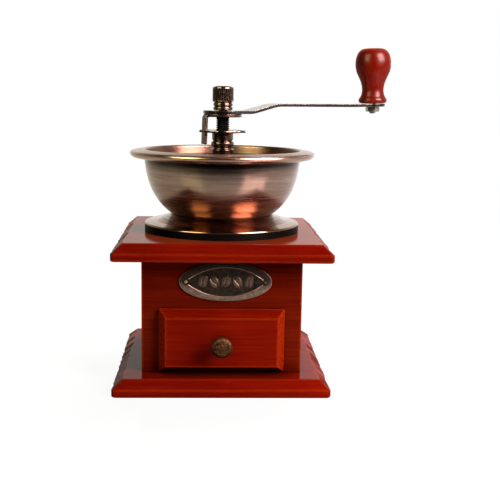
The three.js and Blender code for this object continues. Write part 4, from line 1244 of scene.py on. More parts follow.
front_panel()
for name, node, edge, finish in (
        ("back_panel", "body_back", 0.6, LACQUER_FRONT),
        ("left_panel", "body_left", 0.6, LACQUER_SIDE),
        ("right_panel", "body_right", 0.6, LACQUER_SIDE),
        ("left_guide", "drawer_guide_left", 0.5, BEECH_DEEP),
        ("right_guide", "drawer_guide_right", 0.5, BEECH_DEEP)):
    piece(name, block(*extent(node), edge), node, finish)
print("case panels ready")

# %% [markdown]
# ## The drawer
#
# The drawer front is a raised panel: a thin edge, a wide bevel and a flat field. It is a stack of
# rounded rectangles, like the boards, which lets the bevels at the sides be a little narrower.
# The box behind it is two sides, a back and a floor of plain beech. The pull is a turned bronze
# button on a thin neck.

# %% Drawer
def drawer_panel():
    low, high = extent("drawer_front")
    half_x, half_z, thick = (high.x - low.x) / 2, (high.z - low.z) / 2, high.y - low.y
    bevel, side_bevel, edge, inner = 4.3, 3.9, 1.1, 12
    profile = fillet([
        (inner, 0, 0), (0, 0, 0.3), (0, edge, 0.35), (bevel, thick, 0.5), (inner, thick, 0)], steps=4)
    rings = []
    for inset, reach in profile:
        corner = max(0.8 - inset * 0.1, 0.35)
        from_side = inset * side_bevel / bevel
        ring = rounded_ring(half_x - from_side, half_z - inset, corner, 0, along=4, steps=4)
        rings.append([Vector((p.x, high.y - reach, (low.z + high.z) / 2 + p.y)) for p in ring])
    return piece("drawer_panel", lofted(rings), "drawer_front", LACQUER_DRAWER)


def drawer_pull():
    low, high = extent("drawer_knob")
    reach, centre = 11.4, (low.z + high.z) / 2
    profile = fillet([
        (0, 9, 0), (1.6, 9, 0.3), (1.6, 0, 0), (4.0, 0, 0.2), (4.0, 0.9, 0.5), (2.6, 2.0, 1.5),
        (2.7, 6.0, 2.0), (5.7, 7.0, 0.7), (5.7, 9.6, 1.1), (4.6, 10.9, 1.2), (0, reach, 0)], steps=6)
    points, faces = turned(profile, 64)
    points = [(p[0], high.y - p[2], centre + p[1]) for p in points]
    return piece("drawer_pull", (points, faces), "drawer_knob", PULL_BRONZE)


drawer_panel()
drawer_pull()
for name, node, finish in (
        ("drawer_left_board", "drawer_side_left", BEECH_DEEP),
        ("drawer_right_board", "drawer_side_right", BEECH_DEEP),
        ("drawer_back_board", "drawer_back", BEECH_LONG),
        ("drawer_floor_board", "drawer_floor", BEECH_LONG)):
    piece(name, block(*extent(node), 0.4), node, finish)
print("drawer ready")

# %% [markdown]
# ## The hopper
#
# The bowl is spun from sheet: a flat floor, a wall that swells and straightens, and a wide rim
# rolled over into a bead. The skirt below it flares to a lip that sits on the top board. Both are
# turned profiles. Curves draw what the spinner shaped over a form, and rounded corners what was
# folded.

# %% Bowl and skirt
STRAP_SCREWS = (-23.5, 23.5)           # where the bearing bridge is screwed down through the bowl


def strap_holes(made, low, high):
    for x in STRAP_SCREWS:
        drill(made, x, 0, 1.7, low, high)


def bowl():
    low, high = extent("hopper_bowl")
    floor, sheet, top, rim = low.z, 1.2, high.z, high.x
    outside = bezier((29.6, floor), (39.6, 101.6), (44.5, 112), (45.5, 126.2), 28)
    under_rim = bezier((45.5, 126.2), (47.6, 126.6), (50.6, 126.6), (52.2, 127.3), 8)
    bead = bezier((52.2, 127.3), (54.4, 128.5), (rim + 0.5, 130.7), (51.8, top - 0.75), 12)
    crown = bezier((51.8, top - 0.75), (50.0, top - 0.42), (48.4, top), (46.8, top), 6)
    mouth = bezier((46.8, top), (45.6, top), (45.05, top - 0.4), (44.95, top - 1.5), 6)
    inside = bezier((44.95, top - 1.5), (43.6, 113.4), (38.4, 103), (28.6, floor + sheet), 28)
    throat = 21.6
    profile = [
        (throat, floor), *outside, *under_rim, *bead, *crown, *mouth, *inside,
        (throat, floor + sheet), (throat, floor)]
    made = new_object("bowl", *turned(profile, 160))
    strap_holes(made, floor - 1, floor + sheet + 1)
    return settle(made, "hopper_bowl", COPPER)


def skirt():
    low, high = extent("bowl_skirt")
    foot, top, lip, neck = low.z, high.z, high.x, 30.0
    sheet = 1.2
    shoulder = fillet([
        (lip - sheet, foot, 0), (lip, foot, 0.2), (lip, 89.35, 1.2), (38.4, 90.3, 3.0),
        (34.9, 91.9, 0)], 8)
    step = fillet([
        (34.9, 91.9, 0), (34.5, 92.3, 0.25), (33.5, 92.4, 0.4), (31.2, 93.4, 1.5), (neck, top, 0)], 5)
    inside = fillet([
        (neck - sheet, top, 0), (neck - sheet, 92.4, 1), (32.4, 91.2, 1), (42.2, 88.8, 2),
        (lip - sheet, 87.6, 0.6), (lip - sheet, foot, 0)], 4)
    return piece("skirt", turned([*shoulder, *step, *inside], 160), "bowl_skirt", COPPER_SKIRT)


bowl()
skirt()
print("hopper ready")

# %% [markdown]
# ## The bearing bridge
#
# A steel strap stands on the bowl's floor and carries the spindle's upper bearing, a brass bush.
# It is one strip, bent four times. A rounded section carried along the bent line keeps its
# thickness true through the bends.

# %% Bent strip
def strip(line, width, thick, edge):
    """Carries a rounded section along a line in the XZ plane. The width runs along Y."""
    section = rounded_ring(width / 2, thick / 2, edge, 0, steps=3)
    rings = []
    for i, (x, z) in enumerate(line):
        ahead = Vector(line[min(i + 1, len(line) - 1)]) - Vector(line[max(i - 1, 0)])
        ahead.normalize()
        side = Vector((-ahead.y, ahead.x))
        rings.append([Vector((x + side.x * p.y, p.x, z + side.y * p.y)) for p in section])
    return lofted(rings)


def bearing_bridge():
    low, high = extent("bridge")
    thick, bush_hole = 2.0, 5.2
    reach, floor, strap = high.x, low.z + thick / 2, high.z - thick / 2
    half = [(reach, floor, 0), (19.2, floor, 2.2), (14.6, strap, 2.6)]
    line = fillet([*half, *[(-x, z, r) for x, z, r in reversed(half)]], 6)
    made = new_object("bearing_strap", *strip(line, high.y - low.y, thick, 0.45))
    drill(made, 0, 0, bush_hole, strap - 3, strap + 3)
    strap_holes(made, floor - 3, floor + 3)
    return settle(made, "bridge", BLACK_STEEL)


def bearing_bush():
    low, high = extent("bridge_bush")
    bore, body, collar, seat = 3.85, 4.9, 6.4, 121.1
    profile = fillet([
        (bore, low.z, 0), (body, low.z, 0.3), (body, seat, 0), (collar, seat, 0.3),
        (collar, high.z, 0.3), (bore, high.z, 0)], 3)
    return piece("bearing_bush", turned([*profile, profile[0]], 48), "bridge_bush", BRASS)


bearing_bridge()
bearing_bush()
print("bridge ready")

# %% [markdown]
# ## Screws and nuts
#
# Small screws read as real when their heads are crowned and their drives are cut in. One
# function turns any of them from its profile, and cuts a slot or a cross. Each is made upright
# on the origin and then put in its place, every one turned to an angle of its own, because no
# screw stops where its neighbour does.

# %% Screws
CROWN = 0.12                           # how far a pan head rises from its edge to its middle
HEAD_ROOM = 0.15                       # from the edge of a pan head to the top of its node


def drive_cutter(kind, top, size):
    """The tool that cuts a screw's slot, or the cross for a cross driver, down from height top."""
    if kind == "slot":
        return new_object("driver", *block((-size, -0.35, top - 0.9), (size, 0.35, top + 1), 0))
    half = size * 0.58
    points, faces = block((-half, -0.4, top - 1.3), (half, 0.4, top + 1), 0)
    across = [(-p[1], p[0], p[2]) for p in points]
    return add_on(new_object("driver", points, faces), (across, faces))


def screw(name, node, profile, head_top, head_radius, drive, material, place):
    made = new_object(name, *turned(profile, 32))
    combine(made, drive_cutter(drive, head_top, head_radius), "DIFFERENCE")
    return settle(made, node, material, crease=30, place=place)


def pan_head(head, high, shank, length):
    """A pan-head profile with its head resting on z 0 and its tip below."""
    return fillet([
        (0, -length - 1.2, 0), (shank, -length, 0.2), (shank, 0, 0), (head, 0, 0.15),
        (head, high, high * 0.7), (0, high + CROWN, 0)], 5)


def moved_to(x, y, z):
    return Matrix.Translation(Vector((x, y, z)) * MM)


def upright(node, head_high, angle):
    """The place of a screw that points down, with its head at the top of its node."""
    spot, top = middle(node), extent(node)[1].z
    spin = Matrix.Rotation(angle, 4, "Z")
    return moved_to(spot.x, spot.y, top - head_high - HEAD_ROOM) @ spin


STRAP_HEAD, FLANGE_HEAD = 1.65, 1.45   # heights of the heads
for i in (1, 2):
    node = f"bridge_screw_{i}"
    screw(f"strap_screw_{i}", node, pan_head(2.6, STRAP_HEAD, 1.4, 10.6), STRAP_HEAD + CROWN, 3.2,
          "slot", STEEL, upright(node, STRAP_HEAD, 0.5 + i))
for i in (1, 2, 3):
    node = f"housing_screw_{i}"
    screw(f"flange_screw_{i}", node, pan_head(2.9, FLANGE_HEAD, 1.5, 8.6), FLANGE_HEAD + CROWN, 2.9,
          "cross", BRASS, upright(node, FLANGE_HEAD, 0.4 * i))
print("upright screws ready")

# %% [markdown]
# The four long case screws come up through the base board from below, with sunk flat heads. The
# drawer pull is held by one short screw from inside the drawer, which lies level.

# %% Case screws and drawer pull screw
case_screw = fillet([
    (0, -28.4, 0), (1.7, -25.4, 0.5), (1.8, -2.6, 0.3), (3.6, -0.25, 0.1), (3.6, 0, 0.05),
    (0, 0, 0)], 3)
upside_down = Matrix.Rotation(math.pi, 4, "X")
for i in (1, 2, 3, 4):
    node = f"base_screw_{i}"
    spot, foot = middle(node), extent(node)[0].z
    screw(f"case_screw_{i}", node, case_screw, 0, 3.4, "cross", BRASS,
          moved_to(spot.x, spot.y, foot) @ upside_down @ Matrix.Rotation(0.7 * i, 4, "Z"))

pull_head = extent("drawer_knob_screw")[1].y - 1.9
lying = Matrix.Rotation(-QUARTER, 4, "X")
screw("pull_screw", "drawer_knob_screw", pan_head(2.9, 1.7, 1.25, 13.2), 1.8, 2.9, "cross", STEEL,
      moved_to(0, pull_head, middle("drawer_knob_screw").z) @ lying)
print("screws ready")

# %% [markdown]
# A hexagon nut is a six-sided prism whose corners are turned off: the part that it has in common
# with a double cone. Its bore is countersunk from both ends.

# %% Hexagon nuts
NUT_CHAMFER = 0.75
COUNTERSUNK = 1.3


def hex_nut(name, node, across_flats, bore, low, high, material, place):
    flat = across_flats / 2
    corner = flat / math.cos(math.pi / 6)
    made = new_object(name, *turned([(0, low), (corner, low), (corner, high), (0, high)], 6))
    made.data.transform(Matrix.Rotation(math.radians(30), 4, "Z"))
    cone = fillet([
        (0, low, 0), (flat - 0.1, low, 0), (corner + 0.4, low + NUT_CHAMFER, 0),
        (corner + 0.4, high - NUT_CHAMFER, 0), (flat - 0.1, high, 0), (0, high, 0)])
    combine(made, new_object("corners", *turned(cone, 64)), "INTERSECT")
    mouth = bore + COUNTERSUNK
    cut_out(made, turned([
        (0, low - 1), (mouth, low - 1), (bore, low + 0.3), (bore, high - 0.3), (mouth, high + 1),
        (0, high + 1)], 32))
    return settle(made, node, material, crease=25, place=place)


print("nut helper ready")

# %% [markdown]
# ## The burr set
#
# This is what grinds. A cone with helical teeth turns inside a ring whose teeth lean the other
# way. Coarse flights above draw the beans in and crack them, and fine teeth below cut them. Each
# tooth could be cut by a tool of its own, but one stack of rings does all of them: the radius
# follows a saw, and the saw is twisted from ring to ring.

# %% Teeth
def saw_ring(height, count, root, tip, turn, per_tooth):
    """One level of a toothed cone. Each tooth leans from its root radius to its tip radius."""
    ring = []
    for i in range(count * per_tooth):
        phase = (i % per_tooth) / per_tooth
        radius = root + (tip - root) * phase ** 0.7
        angle = TURN * i / (count * per_tooth) + turn
        ring.append(Vector((radius * math.cos(angle), radius * math.sin(angle), height)))
    return ring


def helical(low, high, count, roots, tips, twist, per_tooth, steps):
    """Teeth between two heights. Roots and tips give the radii at the low and the high end."""
    rings = []
    for i in range(steps + 1):
        t = i / steps
        root = roots[0] + (roots[1] - roots[0]) * t
        tip = tips[0] + (tips[1] - tips[0]) * t
        turn = math.radians(twist) * t
        rings.append(saw_ring(low + (high - low) * t, count, root, tip, turn, per_tooth))
    return lofted(rings)


print("toothed cones can be made")

# %% [markdown]
# The two burrs are made from the same helper. The turning one has six flights and 24 fine teeth,
# and a square hole that the spindle drives. The standing one is a plain ring with two keys, and
# its teeth are what is left when two toothed cones are cut out of it. Everything that turns with
# the crank is drawn with the crank along X, and then turned to the angle at which it rests.

# %% Burrs
FINE_TEETH, FLIGHTS = 24, 6
BURR_SPLIT = 69.0                      # fine teeth below this height, coarse flights above
OVERLAP = 0.5
RING_RADIUS = 21.0
KEY_INSIDE, KEY_HALF = 18.0, 1.6
SQUARE_BORE = 3.1                      # half of the turning burr's square hole

knob_joint = next(j for j in frame["joints"] if j["name"] == "knob_spin")
knob_foot = Vector(knob_joint["pos_m"])
knob_axis = Vector(knob_joint["axis"])
crank_angle = math.atan2(knob_foot.y, knob_foot.x)
crank_place = Matrix.Rotation(crank_angle, 4, "Z")


def turning_burr():
    low, high = extent("inner_burr")
    fine = helical(low.z, BURR_SPLIT, FINE_TEETH, (16.1, 13.4), (17.2, 14.6), 10, 4, 8)
    made = new_object("turning_burr", *fine)
    add_on(made, helical(BURR_SPLIT - OVERLAP, high.z, FLIGHTS, (10.6, 6.4), (14.2, 8.8), 70, 16, 24))
    half = SQUARE_BORE
    cut_out(made, block((-half, -half, low.z - 10), (half, half, high.z + 10), 0))
    return settle(made, "inner_burr", STEEL, crease=28, place=crank_place)


def standing_burr():
    low, high = extent("outer_burr")
    ring = fillet([
        (0, low.z, 0), (RING_RADIUS, low.z, 0.3), (RING_RADIUS, high.z, 0.3), (0, high.z, 0)], 3)
    made = new_object("standing_burr", *turned(ring, 96))
    for x0, x1 in ((KEY_INSIDE, high.x), (-high.x, -KEY_INSIDE)):
        add_on(made, block((x0, -KEY_HALF, low.z), (x1, KEY_HALF, high.z), 0.2))
    cut_out(made, helical(low.z - 1, BURR_SPLIT, FINE_TEETH, (17.8, 16.2), (18.8, 17.2), -10, 4, 8))
    cut_out(made, helical(
        BURR_SPLIT - OVERLAP, high.z + 1, FLIGHTS + 2, (16.4, 17.2), (18.6, 19.4), -50, 12, 20))
    return settle(made, "outer_burr", STEEL, crease=28)


turning_burr()
standing_burr()
print("burrs ready, crank turned by", round(math.degrees(crank_angle), 2), "degrees")

# %% [markdown]
# The burrs sit in a cast cup: its flange is screwed to the top board, and three arms above the
# ring carry a hub that steadies the spindle. The spaces between the arms let the beans through.
# It is made in the order of a foundry and a machine shop: the body with its hub and arms first,
# then the keyways, the bore and the screw holes.

# %% Burr housing
def burr_cup():
    low, high = extent("burr_housing")
    outer, bore, flange = 25.7, 21.3, high.x
    seat, groove_low, groove_high = 80.3, 58.4, 60.0
    flange_low, flange_high, hub_low, hub_high = 84.6, 87.4, 83.0, 91.0
    wall = fillet([
        (bore, low.z, 0), (outer, low.z, 0.6), (outer, flange_low, 0.8), (flange, flange_low, 0.4),
        (flange, flange_high, 0.8), (outer, flange_high, 1.5), (outer, high.z, 0.3),
        (bore, high.z, 0.6), (bore, 84, 0.6), (bore - 2, 82, 0.3), (bore - 2, seat, 0),
        (bore, seat, 0), (bore, groove_high, 0), (bore + 1.5, groove_high, 0),
        (bore + 1.5, groove_low, 0), (bore, groove_low, 0), (bore, low.z, 0)], 4)
    made = new_object("burr_cup", *turned(wall, 96))
    add_on(made, turned(fillet([
        (0, hub_low, 0), (6.6, hub_low, 0.8), (7.2, 84, 0.8), (7.2, hub_high, 1.6),
        (0, hub_high, 0)], 4), 64))
    for degrees in (30, 150, 270):
        arm = new_object("arm", *block((5, -2.2, 84), (bore + 1, 2.2, 89.5), 0.8))
        arm.data.transform(Matrix.Rotation(math.radians(degrees), 4, "Z"))
        combine(made, arm, "UNION")
    for x0, x1 in ((20, 22.8), (-22.8, -20)):
        cut_out(made, block((x0, -1.9, 50), (x1, 1.9, seat), 0))
    drill(made, 0, 0, 4.15, 80, 95, 48)
    for i in (1, 2, 3):
        spot = middle(f"housing_screw_{i}")
        drill(made, spot.x, spot.y, 1.9, 80, 92)
    strap_holes(made, 82, 100)
    return settle(made, "burr_housing", CAST_IRON, crease=30)


burr_cup()
print("housing ready")

# %% [markdown]
# A snap ring in a groove keeps the standing burr in the cup. It is stamped from sheet, with a
# gap, so that it can be squeezed together and let go in the groove.

# %% Snap ring
def snap_ring():
    low, high = extent("burr_retaining_ring")
    outer, inner, half_gap = 22.5, 19.7, math.radians(7)
    ends = QUARTER + half_gap, TURN - 2 * half_gap
    outline = arc_line(outer, *ends, 90) + arc_line(inner, *ends, 90)[::-1]
    made = blank("snap_ring", [outline], high.z - low.z, 0.2)
    mid = (low.z + high.z) / 2
    return settle(reshape(made, lambda p: (p.x, p.y, p.z + mid)), "burr_retaining_ring", BLACK_STEEL)


snap_ring()
print("snap ring ready")

# %% [markdown]
# ## The spindle
#
# One steel shaft runs from the burr to the crank. Below it has a square for the burr, above a
# thread for the adjusting nut and a square for the clip and the crank. A bumped thread would
# look smooth in outline, so this one is a true helix: the lathe helper lets the radius depend
# on height and angle together.

# %% Spindle
SPINDLE = 3.8                          # radius over the thread
THREAD_LOW, THREAD_HIGH = 103.0, 150.2
THREAD_PITCH, THREAD_DEPTH = 1.2, 0.75
THREAD_STEP = 0.125                    # height between two rings of points on the thread


def thread_shape(low, high, depth=THREAD_DEPTH, pitch=THREAD_PITCH):
    """A radius rule that cuts a screw thread between two heights and fades out at its ends."""
    def shape(radius, height, angle):
        if not low <= height <= high:
            return radius
        phase = (height / pitch - angle / TURN) % 1.0
        groove = max(0.0, 1 - abs(2 * phase - 1) / 0.5)
        ends = min(1.0, (height - low) / pitch, (high - height) / pitch)
        return radius - depth * ends * min(1.0, 1.25 * groove)
    return shape


def spindle_rod():
    low, high = extent("spindle_shaft")
    burr_seat, shoulder, square_low = 78.5, 99.7, 150.4
    steps = int((THREAD_HIGH - THREAD_LOW) / THREAD_STEP)
    thread = [(SPINDLE, THREAD_LOW + (THREAD_HIGH - THREAD_LOW) * i / steps) for i in range(steps + 1)]
    lower = fillet([
        (0, low.z, 0), (2.75, low.z, 0.5), (2.75, burr_seat, 0), (4.1, burr_seat, 0.3),
        (4.1, shoulder, 0.2), (SPINDLE, shoulder, 0), (SPINDLE, THREAD_LOW, 0)], 3)
    upper = fillet([
        (SPINDLE, square_low, 0), (2.45, square_low, 0), (2.45, high.z, 0.4), (0, high.z, 0)], 3)
    shape = turned([*lower, *thread, *upper], 64, thread_shape(THREAD_LOW, THREAD_HIGH))
    made = new_object("spindle_rod", *shape)
    for half, z0, z1 in ((2.8, 59.9, burr_seat), (2.5, square_low, 154.1)):
        add_on(made, block((-half, -half, z0), (half, half, z1), 0.2))
    return settle(made, "spindle_shaft", BLACK_STEEL, crease=28, place=crank_place)


spindle_rod()
print("spindle ready")

# %% [markdown]
# A spring between the bush and the spindle's shoulder presses the spindle down, so that the burr
# doesn't rattle. It is one wire wound in six turns, whose first and last lie flat. A circle of
# points carried along the helix makes it. A curve with a round bevel would do the same, but its
# ends would be harder to lay flat.

# %% Spring
def spring_wire():
    low, high = extent("burr_spring")
    gauge, radius, turns, per_turn, sides = 0.6, 5.2, 6, 40, 12
    lying, lying_rise = 0.8, 0.05      # turns that lie flat at each end, and the rise of one
    line = []
    for k in range(turns * per_turn + 1):
        t = k / (turns * per_turn)
        rise = min(1.0, max(0.0, (t * turns - lying) / (turns - 2 * lying)))
        eased = 0.3 * rise * rise * (3 - 2 * rise) + 0.7 * rise
        bottom = low.z + gauge + t * turns * lying_rise
        top = high.z - gauge - (1 - t) * turns * lying_rise
        angle = t * turns * TURN
        height = bottom + (top - bottom) * eased
        line.append(Vector((radius * math.cos(angle), radius * math.sin(angle), height)))
    angles = [TURN * i / sides for i in range(sides)]
    rings = []
    for k, centre in enumerate(line):
        ahead = (line[min(k + 1, len(line) - 1)] - line[max(k - 1, 0)]).normalized()
        out = Vector((centre.x, centre.y, 0)).normalized()
        up = out.cross(ahead).normalized()
        rings.append([centre + out * gauge * math.cos(a) + up * gauge * math.sin(a) for a in angles])
    return piece("spring_wire", lofted(rings), "burr_spring", STEEL, crease=50, place=crank_place)


spring_wire()
print("spring ready")

# %% [markdown]
# Two small round parts go with the spindle: a washer under the burr and a seat for the spring,
# each a turned rectangle with softened corners. A lock nut holds the washer from below.

# %% Washer, spring seat and lock nut
for name, node, inner, outer in (
        ("seat_washer", "burr_washer", 2.95, 7.5), ("spring_seat", "spring_collar", 3.85, 6.8)):
    low, high = extent(node)
    section = fillet([
        (inner, low.z, 0), (outer, low.z, 0.25), (outer, high.z, 0.25), (inner, high.z, 0)], 3)
    piece(name, turned([*section, section[0]], 48), node, STEEL, place=crank_place)
low, high = extent("burr_nut")
hex_nut("burr_lock_nut", "burr_nut", 10, 2.95, low.z, high.z, STEEL, crank_place)
print("small spindle parts ready")

# %% [markdown]
# ## The grind adjuster
#
# A beaded collar runs on the thread and sets how high the burr sits. Its notched disc is held by
# the clip: a round plate on the spindle's square, with one leg bent down through a notch. The
# collar is turned, the disc and the clip are sheet.

# %% Adjusting nut
NUT_DISC_RADIUS, NUT_DISC_THICK = 13.7, 1.3
NOTCHES = 6
NOTCH_WIDTH, NOTCH_ROOT = 5.3, 10.2
NOTCH_ROUNDING = 0.6


def notched_outline():
    """A disc with straight-sided notches, each with rounded mouth and foot."""
    outline, radius = [], NUT_DISC_RADIUS
    half = NOTCH_WIDTH / 2
    mouth = math.asin((half + NOTCH_ROUNDING) / radius)
    span = TURN / NOTCHES - 2 * mouth
    across = [half * k / 6 for k in range(-6, 7)]
    foot = [(NOTCH_ROOT + 0.55 * (v / half) ** 8, v) for v in across]
    lip = [
        (radius - NOTCH_ROUNDING * (1 - math.cos(a)), half + NOTCH_ROUNDING * (1 - math.sin(a)))
        for a in (1.5, 1.1, 0.7, 0.3)]
    notch = [*mirrored_across(lip), *foot, *lip]
    for i in range(NOTCHES):
        angle = TURN * i / NOTCHES + math.pi
        spin = Matrix.Rotation(angle, 2)
        outline += [tuple(spin @ Vector(p)) for p in notch]
        outline += arc_line(radius, angle + mouth, span, 10)[1:-1]
    return outline


def adjuster():
    low, high = extent("adjusting_nut")
    bore, foot, neck_top = SPINDLE + 0.2, low.z, high.z - NUT_DISC_THICK + 0.2
    profile = fillet([
        (bore, foot, 0), (6.24, foot, 0.3), (6.24, 130.9, 0.25), (6.65, 131.05, 0.2),
        (6.65, 131.7, 0.25), (5.6, 132.3, 0.3), (5.6, 133.3, 0.3), (6.75, 134.0, 0.9),
        (6.75, 136.0, 0.9), (5.65, 136.6, 0.25), (5.7, 137.1, 0.15), (6.25, 137.6, 0.2),
        (6.25, neck_top, 0), (bore, neck_top, 0), (bore, foot, 0)], 5)
    piece("adjusting_collar", turned(profile, 72), "adjusting_nut", BRONZE, place=crank_place)
    outlines = [notched_outline(), round_hole(bore, 0, 48)]
    made = blank("notched_disc", outlines, NUT_DISC_THICK, 0.42)
    reshape(made, lambda p: (p.x, p.y, p.z + high.z - NUT_DISC_THICK / 2))
    settle(made, "adjusting_nut", BRONZE, place=crank_place)


adjuster()
print("adjusting nut ready")

# %% [markdown]
# The clip is cut flat, with a tab on one side, and the tab is bent down round a small radius.
# Bending a flat blank keeps the real thickness through the bend.

# %% Locking clip
LEG_LEAN = math.atan2(0.6, 16.0)       # the leg stops a little short of upright


def locking_clip():
    low, high = extent("locking_clip")
    thick, disc, half_leg, edge_x = 1.8, 11.0, 2.3, 10.5
    leg_out, bend = 11.4, 1.7          # the leg's distance from the axis, and the bend's radius
    mid = high.z - thick / 2
    bend_start = leg_out - bend
    swing = QUARTER - LEG_LEAN
    tab = bend_start + bend * swing + (mid - low.z - bend)
    corner = math.acos(edge_x / disc)
    side = [
        (-edge_x, half_leg + 1.2), (-edge_x - 0.35, half_leg + 0.4), (-edge_x - 1.0, half_leg),
        (-tab + 0.5, half_leg), (-tab + 0.12, half_leg - 0.2), (-tab, half_leg - 0.6)]
    outline = [
        *arc_line(disc, corner - math.pi, TURN - 2 * corner, 72), *side, *mirrored_across(side)]
    slices = [-(bend_start + bend * swing * k / 10) for k in range(11)]
    made = blank("locking_plate", [outline, spindle_hole()], thick, 0.3, slices)

    def bent(p):
        run = -p.x - bend_start
        if run <= 0:
            return (p.x, p.y, mid + p.z)
        angle = min(run / bend, swing)
        over = max(0.0, run - bend * swing)
        x = bend_start + (bend + p.z) * math.sin(angle) + over * math.cos(angle)
        z = mid - bend + (bend + p.z) * math.cos(angle) - over * math.sin(angle)
        return (-x, p.y, z)

    return settle(reshape(made, bent), "locking_clip", CLIP_BRONZE, place=crank_place)


locking_clip()
print("clip ready")

# %% [markdown]
# The cap nut clamps the crank. It is turned with two beads, and its grip is cut with upright
# flutes, which the lathe helper makes by letting the radius ripple with the angle.

# %% Cap nut
FLUTES = 34
FLUTE_DEPTH = 0.5


def cap_nut():
    low, high = extent("crank_nut")
    foot, top, bead, grip, bore, bore_top = low.z, high.z, 5.72, 6.1, 2.7, 165.1
    grip_low, grip_high = foot + 4.9, foot + 12.5

    def flutes(radius, height, angle):
        if not (grip_low < height < grip_high and radius > 5.7):
            return radius
        fade = min(1.0, (height - grip_low) / 0.15, (grip_high - height) / 0.3)
        ridge = abs(math.cos(angle * FLUTES / 2))
        return radius - FLUTE_DEPTH * fade * (1 - ridge ** 0.6)

    beads = fillet([
        (bore, foot, 0), (4.9, foot, 0.2), (bead, foot + 0.45, 0.7), (bead, foot + 1.75, 0.7),
        (4.75, foot + 2.22, 0.12), (bead, foot + 2.7, 0.7), (bead, foot + 3.85, 0.7),
        (4.9, foot + 4.35, 0.15), (5.6, foot + 4.65, 0.1), (grip, foot + 5.0, 0.2)], 6)
    wall = [(grip, foot + 5.3 + (grip_high - foot - 5.5) * k / 8) for k in range(9)]
    dome = fillet([
        (grip, grip_high + 0.05, 0), (5.95, top - 0.7, 0.6), (4.3, top, 0.5), (0, top, 0)], 5)
    profile = [(0, bore_top), (bore, bore_top), *beads, *wall, *dome]
    made = new_object("cap_nut", *turned(profile, FLUTES * 8, flutes))
    return settle(made, "crank_nut", BRONZE, crease=40, place=crank_place)


cap_nut()
print("cap nut ready")

# %% [markdown]
# ## The crank
#
# The arm is a steel strip with a round hub, a slight waist and a round eye. Past the hub it is
# set up in a long S so that the hand clears the bowl, and it goes on rising gently to the knob.
# It is cut flat, sliced along its bends, and bent to its middle line.

# %% Crank arm
ARM_THICK = 1.8
ARM_REACH = knob_foot.to_2d().length / MM
ARM_RISE = math.tan(math.acos(knob_axis.z))
ARM_EYE_MID = knob_foot.z / MM - ARM_THICK / 2
ARM_HUB_MID = extent("crank_arm")[0].z + ARM_THICK / 2
ARM_LEVEL_END = 88.0                   # the long part is almost level up to here


def arm_line():
    """The arm's middle line from the side, as (x, z) points with rounded bends."""
    def mid_at(x):
        return ARM_EYE_MID + (x - ARM_REACH) * ARM_RISE

    level, end = mid_at(ARM_LEVEL_END), ARM_REACH + 12
    return fillet([
        (-16, ARM_HUB_MID, 0), (16.5, ARM_HUB_MID, 22), (33.5, level - 0.15, 22),
        (ARM_LEVEL_END, level, 300), (end, mid_at(end), 0)], 8)


def arm_outline():
    hub, eye, waist, root = 11.5, 8.0, 5.8, 7.2
    hub_edge, eye_edge = math.acos(root / hub) + 0.25, 0.95
    outline = arc_line(hub, hub_edge, TURN - 2 * hub_edge, 60)
    near = bezier(outline[-1], (14.0, -root + 0.4), (18.5, -root), (26, -root + 0.4), 10)[1:]
    eye_start = ARM_REACH - eye
    far = bezier(
        (eye_start - 8, -waist), (eye_start - 3, -waist + 0.1), (eye_start, -waist),
        (ARM_REACH - eye * math.cos(eye_edge), -eye * math.sin(eye_edge)), 8)
    head = arc_line(eye, math.pi + eye_edge, TURN - 2 * eye_edge, 48)[1:-1]
    side = [*near, *far]
    return [*outline, *side, *[(ARM_REACH + x, y) for x, y in head], *mirrored_across(side)]


def crank_arm():
    line = arm_line()
    slices = [point[0] for point in line[1:-1]] + [20.0, 24.0, 28.0]
    outlines = [arm_outline(), spindle_hole(), round_hole(2.3, ARM_REACH, 32)]
    made = blank("crank_strip", outlines, ARM_THICK, 0.2, slices)

    def bent(p):
        for (x0, z0), (x1, z1) in zip(line, line[1:]):
            if x0 <= p.x <= x1:
                break
        slope = (z1 - z0) / (x1 - x0)
        lean = math.cos(math.atan(slope))
        return (p.x, p.y, z0 + (p.x - x0) * slope + p.z / lean)

    return settle(reshape(made, bent), "crank_arm", ARM_METAL, place=crank_place)


crank_arm()
print("arm reach", round(ARM_REACH, 1), "mm")

# %% [markdown]
# The knob is turned from one piece of wood: a beaded foot, a waist, and a full head with a
# rounded shoulder. A turner's line has no corners, so curves that run into each other draw it.
# It spins on a bolt through its middle, and a lock nut under the arm holds the bolt. Both sit in
# the knob's own place, square to the leaning end of the arm.

# %% Knob
KNOB_HEIGHT = 34.3

knob_side = Vector((math.cos(crank_angle), math.sin(crank_angle), 0))
knob_side = (knob_side - knob_axis * knob_side.dot(knob_axis)).normalized()
knob_across = knob_axis.cross(knob_side)
knob_turn = Matrix((knob_side, knob_across, knob_axis)).transposed().to_4x4()
knob_place = Matrix.Translation(knob_foot) @ knob_turn


